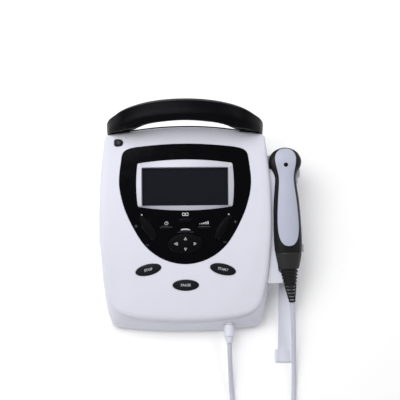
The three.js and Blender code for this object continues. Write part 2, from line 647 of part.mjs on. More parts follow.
function applicatorGrip() {
  const neckBore = HEAD.neckRadius - 2.4;
  const neck = cut(headStep(HEAD.neckRadius, HEAD.neckFoot, -4), headStep(neckBore, HEAD.neckFoot - 1, -3));
  const pocket = cut(insertPrism(GAP), gripBody(1.9));
  return cut(join(gripBody(0), neck), gripBody(3.4), pocket, lensHole(), headStep(neckBore, -40, 0));
}

function gripInsert() {
  return cut(gripBody(0).intersect(insertPrism(0)), gripBody(1.6), lensHole());
}

function soundHead() {
  const body = headStep(HEAD.radius, HEAD.face, HEAD.neckFoot - GAP);
  const stem = headStep(HEAD.neckRadius - 2.8, HEAD.neckFoot - 1, -18);
  return cut(join(body, stem), headStep(12.6, HEAD.face + 2.4, -10));
}

// A tapered, ribbed sleeve whose free end bows sideways with the lead.
function bendRelief() {
  const profile = [[0, GAP]];
  for (let i = 0; i < RELIEF.ribs; i++) {
    const start = GAP + i * RELIEF.pitch;
    const radius = RELIEF.tipRadius + start * RELIEF.taper;
    profile.push([radius, start], [radius + 0.4, start + 3.2], [radius - 0.5, start + 3.5]);
  }
  profile.push([RELIEF.tipRadius + RELIEF.length * RELIEF.taper, RELIEF.length], [0, RELIEF.length]);
  const sleeve = turned(profile, 12, 0, 0, 0);
  const position = sleeve.attributes.position;
  for (let i = 0; i < position.count; i++) {
    const free = 1 - position.getY(i) / RELIEF.length;
    position.setX(i, position.getX(i) + RELIEF.bow * Math.max(free, 0) ** 1.5);
  }
  return sleeve;
}

function gripCollar(growth = 0) {
  const across = new THREE.Vector3(1, 0, 0);
  const up = new THREE.Vector3(0, 0, 1);
  const rings = COLLAR_STATIONS.map(([along, halfWidth, halfThickness]) => {
    const centre = ALONG.clone().multiplyScalar(along);
    const width = halfWidth + growth;
    return roundedSection(centre, across, up, width, halfThickness + growth, 16, 0.9).reverse();
  });
  return toSolid(loft(rings));
}

function buildApplicator() {
  applicator.add(part('applicator_grip', applicatorGrip(), gripBlack));
  applicator.add(part('grip_insert', gripInsert(), insertGrey));
  const lens = rod('z', HEAD.lensRadius, 8.5, 14.2, 0, HEAD.along, 0, 16);
  applicator.add(part('indicator_lens', lens, glossBlack));
  applicator.add(part('sound_head', soundHead(), aluminium));
  applicator.add(part('transducer_crystal', headStep(12, HEAD.face + 2.8, HEAD.face + 5), ceramicWhite));
  applicator.add(part('applicator_pcb', block([-9, 90, -2], [9, 168, -0.6]), boardGreen));
  applicator.add(part('grip_collar', gripCollar(), collarGrey));
  applicator.add(part('bend_relief', bendRelief(), gripBlack));
}

// ---------------------------------------------------------------- holder

// The space that the applicator needs in its cradle, and above it as it is lifted out.
function applicatorRoom() {
  const relief = turned([[0, 20], [9.5, 20], [13, 44], [19, 48.5], [19, 51], [0, 51], [0, 20]], 16, 0, 0, 0);
  const still = join(gripBody(-0.7), gripCollar(0.8), toSolid(relief));
  const lifted = [4, 9, 14].map((height) => still.translate([0, 0, height]));
  return join(still, ...lifted);
}

// A cradle beside the console: a side deck, a sloping tray, two saddles and a cup for the sound head.
function holderBracket() {
  const tray = new THREE.Shape([
    [-40, 38], [-9, 38], [14, 46], [14, 182], [24, 188], [24, 222], [-40, 222],
  ].map(([x, y]) => new THREE.Vector2(x, y)));
  const floor = toSolid(place(new THREE.ExtrudeGeometry(tray, { depth: 4, bevelEnabled: false }), 0, 0, -23));
  const flange = toSolid(block([-40, 44, -34], [-25.5, 216, -4]));
  const deck = toSolid(block([-40, 30, -6], [-8, 200, 4]));
  const saddles = [[74, 12, 24], [178, 9, 19]].map(([start, length, reach]) =>
    toSolid(block([-30, start, -22], [reach, start + length, -5])));
  const cup = headStep(24.5, -42, -20);
  const cupHollow = headStep(20, -39, 40);
  const wide = toSolid(block([-15, 60, -15], [15, 224, 40]));
  return cut(
    join(floor, flange, deck, ...saddles, cup),
    cupHollow, applicatorRoom(), wide, worldToApplicator(consoleClearance),
  );
}

const ARM_ROUTE = [
  [148.2, -34, 2.4], [148.8, -22, 2.4], [149.4, -12, 3.1], [150.4, 10, 5.3], [151, 32, 8.7],
  [151.6, 54, 12.7], [152.4, 80, 17.6],
];
const ARM = { halfWidth: 11.4, halfThickness: 2.2 };

// An arm that slopes down from the cradle under the lead to a flat foot on the table.
function holderArm() {
  const left = new THREE.Vector3(-1, 0, 0);
  const up = new THREE.Vector3(0, 0, 1);
  const rings = ARM_ROUTE.map((point) =>
    roundedSection(new THREE.Vector3(...point), left, up, ARM.halfWidth, ARM.halfThickness, 12, 0.6));
  const foot = toSolid(block([132.5, -46, 0.1], [160.7, -27, 4.6]));
  return join(toSolid(loft(rings)), foot);
}

function buildHolder() {
  applicator.add(part('holder_bracket', holderBracket(), holderWhite));
  device.add(part('holder_arm', holderArm(), holderWhite));
}

// ---------------------------------------------------------------- assembly

device.add(part('bottom_housing', bottomHousing(), shellWhite));
buildPanel();
buildHandle();
buildInside();
buildPortDoor();
buildSocket();
buildPlug();
buildApplicator();
buildHolder();
buildLead();

// The origin is the middle of the footprint of everything but the lead, on the standing surface.
const LEAD_NODES = ['lead_plug', 'lead_applicator_run', 'lead_plug_run', 'lead_coil'];
const footprint = new THREE.Box3();
device.updateMatrixWorld(true);
device.traverse((node) => {
  if (!node.isMesh || LEAD_NODES.includes(node.name)) return;
  const placed = node.geometry.clone().applyMatrix4(node.matrixWorld);
  placed.computeBoundingBox();
  footprint.union(placed.boundingBox);
});
const middle = footprint.getCenter(new THREE.Vector3());
device.position.set(-middle.x, -middle.y, 0);

export default device;
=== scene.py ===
"""Looks of the ultrasound therapy device: a console with its keys, handle, applicator, holder and lead."""

import json
import math

import bmesh
import bpy
from mathutils import Matrix, Vector


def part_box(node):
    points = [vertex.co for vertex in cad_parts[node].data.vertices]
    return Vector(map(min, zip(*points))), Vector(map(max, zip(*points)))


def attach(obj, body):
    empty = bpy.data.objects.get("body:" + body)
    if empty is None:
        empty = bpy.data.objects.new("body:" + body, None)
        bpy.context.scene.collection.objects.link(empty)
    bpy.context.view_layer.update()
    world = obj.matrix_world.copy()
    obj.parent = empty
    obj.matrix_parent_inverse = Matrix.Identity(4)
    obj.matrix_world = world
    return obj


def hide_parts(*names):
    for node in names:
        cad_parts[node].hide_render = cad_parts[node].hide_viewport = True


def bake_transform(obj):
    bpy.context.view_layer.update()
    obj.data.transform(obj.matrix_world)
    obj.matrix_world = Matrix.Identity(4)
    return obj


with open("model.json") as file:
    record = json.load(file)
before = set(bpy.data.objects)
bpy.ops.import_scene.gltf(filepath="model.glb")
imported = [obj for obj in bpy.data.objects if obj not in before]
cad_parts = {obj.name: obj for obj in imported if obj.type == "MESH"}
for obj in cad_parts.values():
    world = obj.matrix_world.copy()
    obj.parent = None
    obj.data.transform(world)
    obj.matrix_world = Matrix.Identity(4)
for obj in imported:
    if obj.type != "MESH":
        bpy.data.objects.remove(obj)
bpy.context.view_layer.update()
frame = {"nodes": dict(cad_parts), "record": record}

# ---- dimensions, in millimetres

MM = 0.001
PANEL_TILT = math.radians(13.5)
PANEL_ORIGIN = (0, 8, 42)
EDGE_RADIUS = 7
EDGE_INSET, REAR_INSET = 9.5, 4
PARTING_DEPTH = 22
LEDGE_DEPTH, LEDGE_SHARE = 9.5, 0.68
RIM_Z = 1.8 - LEDGE_DEPTH
REAR_CORNER, REAR_CORNER_LENGTH = 238, 28
BASE_Z = 4
GAP = 0.35

PANEL_EDGE = [
    (0, 2), (42, 3.5), (76, 7.5), (99, 15), (111, 29), (118.5, 55), (124, 90), (127.3, 125),
    (128, 158), (127, 200), (123, 245), (120.6, 265), (117.5, 277), (78, 284.5), (40, 289), (0, 290.5),
]
# Where the panel's flat area ends; outside it the surface falls away gently.
FLAT_EDGE = [
    (0, 14), (38, 17), (62, 28), (76, 48), (86, 75), (95.3, 91), (103.1, 109), (109.9, 123),
    (115, 150), (115, 195), (111.5, 240), (110.5, 261), (106, 269), (76, 275), (40, 279.5), (0, 281),
]
FALL = 0.05
SCREWS = [(-92, 34), (92, 34), (-92, 246), (92, 246)]
FEET = [(-84, 24), (84, 24), (-90, 262), (90, 262)]
PARTING_EDGE = [
    (0, -8), (45, -7.3), (84, -4.5), (105.5, -1.5), (114, 8), (120.8, 38), (125.3, 76), (125.5, 115),
    (125.2, 152), (123.5, 197), (119.5, 242), (117, 265), (113, 275), (78, 281), (40, 285), (0, 286.5),
]
BASE_EDGE = [
    (0, 1.4), (45, 2), (84, 5.5), (107.5, 8.6), (112.2, 13.5), (115.5, 45), (119, 85), (121, 125),
    (122, 155), (121, 195), (118, 240), (115, 262), (109, 272.5), (78, 279), (40, 282), (0, 283.5),
]
FASCIA_EDGE = [
    (0, 87), (32, 94), (59, 113.5), (83, 153), (93.5, 182), (97.5, 207), (95, 236), (91.5, 252),
    (84, 257.5), (45, 263), (0, 265),
]
WINDOW_HALF = 63.5
WINDOW_LOW, WINDOW_HIGH = 173.5, 229

APPLICATOR_TIP = (155.5, 38.7, 34)
APPLICATOR_YAW = math.radians(1.7)
GRIP_STATIONS = [
    (75.3, 19.6, 15.5), (84, 20.4, 16.4), (100, 20.7, 17), (126, 20.1, 17), (153, 18.6, 16.4),
    (172, 16.5, 15.4), (187, 15.5, 14.6), (195, 18.2, 14.4), (202, 22.6, 14.2), (209, 24.5, 14),
    (217, 23.2, 13), (225, 17.8, 10.5), (229.5, 10.5, 7), (231.5, 3.5, 3),
]
INSERT_EDGE = [
    (0, 84.5), (7, 86.5), (12.5, 94), (15.2, 108), (15.4, 125), (13.7, 152.5), (11.7, 172), (11.05, 186),
    (12.8, 197), (15, 208), (15.5, 216), (13, 223.5), (7.5, 228.3), (0, 229.7),
]
HEAD_ALONG = 205
RELIEF_LENGTH, RELIEF_BOW, RELIEF_PITCH, RELIEF_RIBS = 49.6, 2.7, 4.9, 10

SOCKET_X, SOCKET_Z = 64, 21
LEAD_RADIUS = 3.5
COIL_CENTRE = (113, -178)
APPLICATOR_RUN = [
    (158.4, 38, 33.8), (158.7, 30, 31.8), (159.1, 18, 28.6), (159.5, 4, 24.6), (159.8, -12, 19.8),
    (160, -30, 14.4), (159.9, -50, 9.2), (159.6, -70, 5.4), (158.8, -90, 3.8), (157.7, -110, 3.6),
    (156.4, -128, 3.6), (155.4, -141, 3.6), (155, -152, 3.6),
]
PLUG_RUN = [
    (64, -20.3, 21), (64.1, -30, 20.2), (64.5, -44, 17), (65.1, -60, 12), (66, -78, 7), (67.1, -96, 4.4),
    (68.4, -112, 5.6), (69.8, -128, 12), (70.7, -141, 19.5), (71, -152, 24),
]

# Millimetres from the console's centre line and front edge become the frame's metres. The first
# foot shows where they are.
foot_low, foot_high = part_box("rubber_foot_1")
foot = (foot_low + foot_high) / 2
WORLD = Matrix.Translation((foot.x - FEET[0][0] * MM, foot.y - FEET[0][1] * MM, 0)) @ Matrix.Scale(MM, 4)
PANEL = WORLD @ Matrix.Translation(PANEL_ORIGIN) @ Matrix.Rotation(PANEL_TILT, 4, "X")
APPLICATOR = (
    WORLD
    @ Matrix.Translation(APPLICATOR_TIP)
    @ Matrix.Rotation(APPLICATOR_YAW, 4, "Z")
    @ Matrix.Rotation(PANEL_TILT, 4, "X")
)

# ---- materials


def add_node(tree, kind, values, links):
    """A shader node with some of its inputs set and others linked."""
    node = tree.nodes.new("ShaderNode" + kind)
    for name, value in values.items():
        node.inputs[name].default_value = value
    for name, source in links.items():
        tree.links.new(source, node.inputs[name])
    return node


def texture(tree, kind, values):
    """A texture in the object's own coordinates."""
    coordinates = tree.nodes.new("ShaderNodeTexCoord")
    return add_node(tree, "Tex" + kind, values, {"Vector": coordinates.outputs["Object"]})


def noise(tree, scale, detail, roughness=0.55):
    return texture(tree, "Noise", {"Scale": scale, "Detail": detail, "Roughness": roughness}).outputs["Fac"]


def mapped(tree, source, low, high, start=0.3, end=0.7):
    values = {"From Min": start, "From Max": end, "To Min": low, "To Max": high}
    return add_node(tree, "MapRange", values, {"Value": source}).outputs["Result"]


def mix_colours(tree, factor, first, second):
    """A mix of a colour or another node's output with a second colour."""
    mix = tree.nodes.new("ShaderNodeMix")
    mix.data_type = "RGBA"
    if isinstance(first, tuple):
        mix.inputs["A"].default_value = (*first, 1)
    else:
        tree.links.new(first, mix.inputs["A"])
    mix.inputs["B"].default_value = (*second, 1)
    tree.links.new(factor, mix.inputs["Factor"])
    return mix.outputs["Result"]


def relief(tree, height, strength, distance):
    """A bump, which takes the place of any earlier one."""
    bump = add_node(tree, "Bump", {"Strength": strength, "Distance": distance}, {"Height": height})
    tree.links.new(bump.outputs["Normal"], tree.nodes["Principled BSDF"].inputs["Normal"])


def shade(colour, factor):
    return tuple(min(1.0, channel * factor) for channel in colour)


def moulded(name, colour, roughness, grain=900, bump=0.12, mottle=0.05, edge_wear_and_highlight=0.0, metallic=0.0,
            specular=0.5, spread=0.06):
    """Moulded plastic, rubber or metal: drifting tone, fine surface grain, and edges lightened by wear and by
    a painted highlight.
    """
    material = bpy.data.materials.new(name)
    material.use_nodes = True
    tree = material.node_tree
    shader = tree.nodes["Principled BSDF"]
    tone = mapped(tree, noise(tree, 28, 4), 0, 1)
    base = mix_colours(tree, tone, shade(colour, 1 - mottle), shade(colour, 1 + mottle))
    # Edges lightened by pointiness: partly real wear, partly a painted highlight on ridges and rib edges.
    if edge_wear_and_highlight:
        geometry = tree.nodes.new("ShaderNodeNewGeometry")
        edge = mapped(tree, geometry.outputs["Pointiness"], 0, edge_wear_and_highlight, 0.52, 0.62)
        base = mix_colours(tree, edge, base, shade(colour, 2.2))
    tree.links.new(base, shader.inputs["Base Color"])
    low, high = max(0.02, roughness - spread), min(1.0, roughness + spread)
    tree.links.new(mapped(tree, noise(tree, 75, 5, 0.6), low, high), shader.inputs["Roughness"])
    relief(tree, noise(tree, grain, 2), bump, 0.0002)
    shader.inputs["Metallic"].default_value = metallic
    shader.inputs["Specular IOR Level"].default_value = specular
    return material


def turned_metal(name, colour, roughness):
    """Machined metal: fine concentric tool marks broken up by noise."""
    material = moulded(name, colour, roughness, grain=1400, bump=0.1, mottle=0.04, metallic=1.0, spread=0.08)
    rings = texture(material.node_tree, "Wave", {"Scale": 380, "Distortion": 0.6})
    rings.wave_type = "RINGS"
    relief(material.node_tree, rings.outputs["Fac"], 0.12, 0.0001)
    return material


def circuit_board(name):
    """Solder mask with a faint grid of tracks."""
    mask = (0.02, 0.13, 0.06)
    material = moulded(name, mask, 0.4, bump=0.1, mottle=0.15)
    tree = material.node_tree
    tracks = texture(tree, "Brick", {"Scale": 90, "Mortar Size": 0.03, "Color1": (*mask, 1),
                                     "Color2": (0.03, 0.16, 0.07, 1), "Mortar": (0.18, 0.4, 0.14, 1)})
    tree.links.new(tracks.outputs["Color"], tree.nodes["Principled BSDF"].inputs["Base Color"])
    return material


# Each moulded finish: its name, colour and roughness, and what differs from moulded()'s defaults.
FINISHES = [
    ("shell_white", (0.70, 0.70, 0.79), 0.42, dict(mottle=0.012, bump=0.1)),
    ("holder_white", (0.67, 0.68, 0.76), 0.45, dict(mottle=0.015, bump=0.1)),
    ("handle_black", (0.0024, 0.0023, 0.0032), 0.36, dict(bump=0.18, edge_wear_and_highlight=0.15, specular=0.05)),
    ("gloss_black", (0.003, 0.003, 0.0038), 0.12, dict(bump=0.02, specular=0.12, spread=0.03)),
    ("key_black", (0.0068, 0.0068, 0.0118), 0.4, dict(edge_wear_and_highlight=0.3, specular=0.16)),
    ("nav_black", (0.0025, 0.0025, 0.0035), 0.42, dict(edge_wear_and_highlight=0.25, specular=0.06)),
    ("frame_silver", (0.57, 0.57, 0.645), 0.34, dict(bump=0.06, metallic=0.15, mottle=0.02)),
    ("window_dark", (0.0115, 0.012, 0.0165), 0.08, dict(bump=0.01, specular=0.2, spread=0.02)),
    ("insert_grey", (0.44, 0.46, 0.56), 0.52, dict(grain=1300, bump=0.2, mottle=0.03)),
    ("grip_black", (0.005, 0.0053, 0.005), 0.46, dict(grain=1300, bump=0.25, edge_wear_and_highlight=0.3, specular=0.25)),
    ("collar_grey", (0.018, 0.018, 0.018), 0.45, dict(bump=0.15, edge_wear_and_highlight=0.25, specular=0.3)),
    # A lighter grey that paints the highlight along the handle's ridge bead.
    ("ridge_grey", (0.042, 0.041, 0.048), 0.35, dict(bump=0.15, edge_wear_and_highlight=0.2, specular=0.3)),
    ("lead_white", (0.52, 0.53, 0.62), 0.48, dict(grain=1500, mottle=0.03)),
    ("rubber_grey", (0.09, 0.09, 0.1), 0.8, dict(grain=1600, bump=0.35, mottle=0.1)),
    ("inner_black", (0.014, 0.014, 0.016), 0.55, dict(bump=0.2)),
    ("battery_blue", (0.03, 0.08, 0.19), 0.4, dict(bump=0.15, mottle=0.08)),
    ("crystal_white", (0.78, 0.75, 0.68), 0.35, dict(bump=0.1)),
    ("print_bright", (0.62, 0.63, 0.66), 0.5, dict(bump=0.05)),
    ("print_dim", (0.12, 0.12, 0.125), 0.5, dict(bump=0.05)),
    ("floor_white", (0.97, 0.97, 0.97), 0.75, dict(grain=220, bump=0.02, mottle=0.004, specular=0.15)),
]
MATERIALS = {name: moulded(name, colour, roughness, **rest) for name, colour, roughness, rest in FINISHES}
MATERIALS["head_aluminium"] = turned_metal("head_aluminium", (0.62, 0.63, 0.65), 0.28)
MATERIALS["steel"] = turned_metal("steel", (0.48, 0.49, 0.5), 0.32)
MATERIALS["board_green"] = circuit_board("board_green")

# ---- curves and rings

ACROSS, ALONG, UP = Vector((1, 0, 0)), Vector((0, 1, 0)), Vector((0, 0, 1))


def spline(points, closed, steps):
    """Points along a centripetal Catmull-Rom curve, with the same number of steps between each two."""
    points = [Vector(p) for p in points]
    count = len(points)
    found = []
    for i in range(count if closed else count - 1):
        p1, p2 = points[i], points[(i + 1) % count]
        p0 = points[i - 1] if closed or i else 2 * p1 - p2
        p3 = points[(i + 2) % count] if closed or i + 2 < count else 2 * p2 - p1
        d0, d1, d2 = (max((b - a).length, 1e-6) ** 0.5 for a, b in ((p0, p1), (p1, p2), (p2, p3)))
        m1 = ((p1 - p0) / d0 - (p2 - p0) / (d0 + d1) + (p2 - p1) / d1) * d1
        m2 = ((p2 - p1) / d1 - (p3 - p1) / (d1 + d2) + (p3 - p2) / d2) * d1
        for k in range(steps):
            t = k / steps
            found.append(
                (2 * t**3 - 3 * t**2 + 1) * p1 + (t**3 - 2 * t**2 + t) * m1
                + (3 * t**2 - 2 * t**3) * p2 + (t**3 - t**2) * m2
            )
    if not closed:
        found.append(points[-1].copy())
    return found


def outline(half, steps=8):
    mirrored = [(-x, y) for x, y in reversed(half[1:-1])]
    return spline(list(half) + mirrored, True, steps)


def circle(sides):
    """The cosine and sine of each even step round a circle."""
    return [(math.cos(angle), math.sin(angle)) for angle in (2 * math.pi * i / sides for i in range(sides))]


def ellipse(length, width, sides=64):
    return [Vector((length / 2 * c, width / 2 * s)) for c, s in circle(sides)]


def grow(points, distance):
    """Points moved outwards by one distance, or by a distance of each point's own."""
    steps = distance if isinstance(distance, list) else [distance] * len(points)
    grown = []
    for i, (point, step) in enumerate(zip(points, steps)):
        along = (points[(i + 1) % len(points)] - points[i - 1]).normalized()
        grown.append(Vector((point.x + along.y * step, point.y - along.x * step)))
    return grown


def level(points, height, growth=0.0):
    """An outline at a height, moved outwards where growth isn't zero."""
    return [Vector((p.x, p.y, height)) for p in (grow(points, growth) if growth else points)]


def between(first, second, t):
    """The outline that lies a share of the way from one to another."""
    return [a.lerp(b, t) for a, b in zip(first, second)]


def superellipse(centre, sideways, upwards, half_width, half_height, sides=48, power=0.85):
    def bend(value):
        return math.copysign(abs(value) ** power, value)

    wide, high = sideways * half_width, upwards * half_height
    return [centre + wide * bend(c) + high * bend(s) for c, s in circle(sides)]


def round_ring(radius, along, sides=48):
    """A circle about the local Y axis."""
    return [Vector((radius * s, along, radius * c)) for c, s in circle(sides)]


# ---- pieces


# Faces smaller than this, in square metres, have no area; points nearer than this, in metres, coincide.
NO_AREA = 1e-13
WELD = 2e-7


def add(name, data):
    obj = bpy.data.objects.new(name, data)
    bpy.context.scene.collection.objects.link(obj)
    return obj


def solid(vertices, faces, name="cutter"):
    """A bare mesh object, with no finish or body yet."""
    mesh = bpy.data.meshes.new(name)
    mesh.from_pydata([tuple(v) for v in vertices], [], faces)
    return add(name, mesh)


def piece(name, vertices, faces, material, body="console", replaces=(), sharp=38, flat_first=True):
    obj = solid(vertices, faces, name)
    obj.data.validate()
    return dress(obj, material, body, replaces, sharp, flat_first)


def clean(obj):
    """Merges points that coincide and closes the cracks, where a mesh has faces without area."""
    mesh = bmesh.new()
    mesh.from_mesh(obj.data)
    if any(face.calc_area() < NO_AREA for face in mesh.faces):
        bmesh.ops.remove_doubles(mesh, verts=mesh.verts, dist=WELD)
        bmesh.ops.dissolve_degenerate(mesh, dist=WELD, edges=mesh.edges)
        bmesh.ops.holes_fill(mesh, edges=[edge for edge in mesh.edges if edge.is_boundary], sides=0)
        mesh.to_mesh(obj.data)
    mesh.free()


def dress(obj, material, body="console", replaces=(), sharp=38, flat_first=True):
    """Gives a mesh its material, smooth shading with crisp edges, its body and the nodes it stands for."""
    clean(obj)
    obj.data.materials.clear()
    obj.data.materials.append(MATERIALS[material])
    obj.data.shade_smooth()
    obj.data.set_sharp_from_angle(angle=math.radians(sharp))
    if flat_first:
        weights = obj.modifiers.new("flat_first", "WEIGHTED_NORMAL")
        weights.keep_sharp = True
    if body:
        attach(obj, body)
    if replaces:
        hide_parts(*replaces)
    return obj


def skin(rings, matrix, closed=False):
    """Vertices and faces of a skin through rings of equal length.

    A closed skin joins its last ring to its first. Any other has a flat cap at each end.
    """
    count = len(rings[0])
    vertices = [matrix @ p for ring in rings for p in ring]
    faces = []
    for r in range(len(rings) if closed else len(rings) - 1):
        later = (r + 1) % len(rings)
        for i in range(count):
            j = (i + 1) % count
            faces.append((r * count + i, r * count + j, later * count + j, later * count + i))
    if not closed:
        last = (len(rings) - 1) * count
        faces.append(tuple(reversed(range(count))))
        faces.append(tuple(range(last, last + count)))
    return vertices, faces


def slab_rings(points, low, high, radius, steps=4, crown=0.0):
    """Rings of a flat outline raised from low to high, its upper edge rounded and its top crowned."""
    rings = [level(points, low), level(points, high - radius)]
    for k in range(1, steps + 1):
        angle = math.pi / 2 * k / steps
        inset = radius * (1 - math.cos(angle))
        rings.append(level(grow(points, -inset), high - radius * (1 - math.sin(angle))))
    if crown:
        middle = sum(points, Vector((0, 0))) / len(points)
        top = rings[-1]
        for share in (0.85, 0.65, 0.4, 0.15):
            rings.append(level([middle.lerp(p.xy, share) for p in top], high + crown * (1 - share**2)))
    return rings


def box_mesh(low, high, matrix):
    corners = [matrix @ Vector((x, y, z)) for x in (low[0], high[0]) for y in (low[1], high[1])
               for z in (low[2], high[2])]
    faces = [(0, 1, 3, 2), (4, 6, 7, 5), (0, 4, 5, 1), (2, 3, 7, 6), (0, 2, 6, 4), (1, 5, 7, 3)]
    return corners, faces


def rod_mesh(axis, radius, start, end, centre, matrix, sides=48):
    """A rod along Y or Z between two distances from a centre."""
    rings = []
    for along in (start, end):
        if axis == "y":
            ring = round_ring(radius, along, sides)
        else:
            ring = [Vector((radius * c, radius * s, along)) for c, s in circle(sides)]
        rings.append([Vector(centre) + p for p in ring])
    return skin(rings, matrix)


def boolean(obj, others, operation="DIFFERENCE"):
    """Cuts or joins an object with others, given as objects, which are used up, or as meshes."""
    for other in others:
        if isinstance(other, tuple):
            other = solid(*other)
        step = obj.modifiers.new("step", "BOOLEAN")
        step.operation = operation
        step.solver = "EXACT"
        step.object = other
        settle(obj)
        bpy.data.objects.remove(other)
    return obj


def settle(obj):
    """Applies every modifier on an object."""
    bpy.context.view_layer.update()
    evaluated = obj.evaluated_get(bpy.context.evaluated_depsgraph_get())
    mesh = bpy.data.meshes.new_from_object(evaluated)
    obj.modifiers.clear()
    obj.data = mesh


def soften(obj, width, segments=2, angle=32):
    """Rounds an object's crisp edges by a width in millimetres."""
    edges = obj.modifiers.new("edges", "BEVEL")
    edges.width = width * MM
    edges.segments = segments
    edges.limit_method = "ANGLE"
    edges.angle_limit = math.radians(angle)
    edges.use_clamp_overlap = True
    edges.miter_outer = "MITER_ARC"
    settle(obj)
    return obj


def rounded_box(name, low, high, radius, material="shell_white", matrix=WORLD, body="console", replaces=()):
    obj = soften(solid(*box_mesh(low, high, matrix), name), radius, 3)
    return dress(obj, material, body, replaces)


def lathe(name, profile, matrix, material, body="console", replaces=(), sides=48, sharp=38):
    """A piece turned about its local Y axis from a profile of (radius, along), from axis to axis."""
    rings = [round_ring(radius, along, sides) for radius, along in profile]
    return piece(name, *skin(rings, matrix), material, body, replaces, sharp)


# ---- camera, lights and floor


CAMERA_TARGET = (21.9, 187, 75)
CAMERA_ELEVATION, CAMERA_ROLL = math.radians(74.5), math.radians(-0.45)
CAMERA_DISTANCE = 1.25
PIXEL = 1.49e-3
PICTURE_WIDTH = 400
SENSOR = 36
# Each light's place in metres, its size in metres and its power in watts.
LIGHTS = {"key_light": ((-0.45, 0.4, 1.45), 1.1, 15), "left_light": ((-1.3, 0.1, 1.1), 0.9, 4),
          "right_light": ((1.1, 0.7, 1.3), 0.9, 5)}
LIGHTS_TARGET = Vector((0, 0, 0.05))
WORLD_STRENGTH = 0.55
FLOOR_HALF, FLOOR_DEPTH, FLOOR_GLOW = 4000, 60, 0.06


def build_camera():
    camera = add("camera", bpy.data.cameras.new("camera"))
    backwards = Vector((0, -math.cos(CAMERA_ELEVATION), math.sin(CAMERA_ELEVATION)))
    turn = Matrix.Rotation(math.pi / 2 - CAMERA_ELEVATION, 4, "X") @ Matrix.Rotation(CAMERA_ROLL, 4, "Z")
    target = WORLD @ Vector(CAMERA_TARGET)
    camera.matrix_world = Matrix.Translation(target + backwards * CAMERA_DISTANCE) @ turn
    camera.data.sensor_width = SENSOR
    camera.data.lens = SENSOR * (CAMERA_DISTANCE / PIXEL) / PICTURE_WIDTH
    bpy.context.scene.camera = camera


def build_studio():
    """A bright surround that is dark overhead, three soft lights and a nearly white floor."""
    world = bpy.data.worlds.new("studio")
    world.use_nodes = True
    tree = world.node_tree
    coordinates = tree.nodes.new("ShaderNodeTexCoord")
    parts = add_node(tree, "SeparateXYZ", {}, {"Vector": coordinates.outputs["Generated"]})
    ramp = add_node(tree, "ValToRGB", {}, {"Fac": parts.outputs["Z"]})
    for element, position, colour in zip(ramp.color_ramp.elements, (0.80, 0.90),
                                         ((1, 1, 1, 1), (0.04, 0.04, 0.045, 1))):
        element.position = position
        element.color = colour
    background = tree.nodes["Background"]
    tree.links.new(ramp.outputs["Color"], background.inputs["Color"])
    background.inputs["Strength"].default_value = WORLD_STRENGTH
    bpy.context.scene.world = world
    for name, (place, size, power) in LIGHTS.items():
        data = bpy.data.lights.new(name, "AREA")
        data.shape = "DISK"
        data.size = size
        data.energy = power
        light = add(name, data)
        light.location = place
        light.rotation_euler = (LIGHTS_TARGET - Vector(place)).to_track_quat("-Z", "Y").to_euler()
    bpy.context.scene.view_settings.view_transform = "Standard"
    corners = (-FLOOR_HALF, -FLOOR_HALF, -FLOOR_DEPTH), (FLOOR_HALF, FLOOR_HALF, 0)
    floor = dress(solid(*box_mesh(*corners, Matrix.Scale(MM, 4)), "floor"), "floor_white", body=None)
    glow = MATERIALS["floor_white"].node_tree.nodes["Principled BSDF"]
    glow.inputs["Emission Color"].default_value = (1, 1, 1, 1)
    glow.inputs["Emission Strength"].default_value = FLOOR_GLOW


# ---- lead


COIL_RADII = [42, 35, 35, 42, 42, 35, 42]
COIL_HEIGHTS = [3.6, 3.6, 10.6, 10.6, 17.6, 17.6, 24.4]
COIL_TURNS, COIL_STEPS = 6.5, 40
# The share of a turn over which the lead moves to the next radius and height; the sixth turn takes all of it.
COIL_GLIDE = 0.3
SLOW_TURN = 5


def ease(share):
    """A share from 0 to 1 that starts and ends gently."""
    return share * share * (3 - 2 * share)


def coil_points():
    """Six and a half clockwise turns on the table: three double layers and a last half turn on top."""
    points = []
    for i in range(1, int(COIL_STEPS * COIL_TURNS)):
        turn, within = divmod(i / COIL_STEPS, 1)
        turn = int(turn)
        later = min(turn + 1, len(COIL_RADII) - 1)
        glide = COIL_GLIDE if turn != SLOW_TURN else 1
        share = ease(max(0.0, (within - 1 + glide) / glide))
        radius = COIL_RADII[turn] + (COIL_RADII[later] - COIL_RADII[turn]) * share
        height = COIL_HEIGHTS[turn] + (COIL_HEIGHTS[later] - COIL_HEIGHTS[turn]) * share
        angle = -2 * math.pi * i / COIL_STEPS
        points.append((COIL_CENTRE[0] + radius * math.cos(angle), COIL_CENTRE[1] + radius * math.sin(angle),
                       height))
    return points


def even_points(points, step):
    """The same line with its points a fixed step apart."""
    found = [points[0].copy()]
    need = step
    for a, b in zip(points, points[1:]):
        length = (b - a).length
        while length >= need:
            a = a + (b - a).normalized() * need
            length = (b - a).length
            need = step
            found.append(a.copy())
        need -= length
    found.append(points[-1].copy())
    return found


def tube(name, line, radius, material, sides=16):
    """A round tube along a line of points, in the row frame."""
    rings = []
    side = Vector((0, 0, 1))
    for i, point in enumerate(line):
        along = (line[min(i + 1, len(line) - 1)] - line[max(i - 1, 0)]).normalized()
        side = (side - along * side.dot(along)).normalized()
        other = along.cross(side)
        rings.append([point + (side * c + other * s) * radius for c, s in circle(sides)])
    return piece(name, *skin(rings, Matrix.Identity(4)), material, body=None, flat_first=False)


def build_lead():
    route = APPLICATOR_RUN + coil_points() + list(reversed(PLUG_RUN))
    line = even_points([WORLD @ p for p in spline(route, False, 6)], 3.5 * MM)
    lead = tube("applicator_lead", line, LEAD_RADIUS * MM, "lead_white")
    exit_point = line[0].copy()
    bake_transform(lead)
    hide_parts("lead_applicator_run", "lead_plug_run", "lead_coil")
    plug = build_plug()
    tie = build_tie()


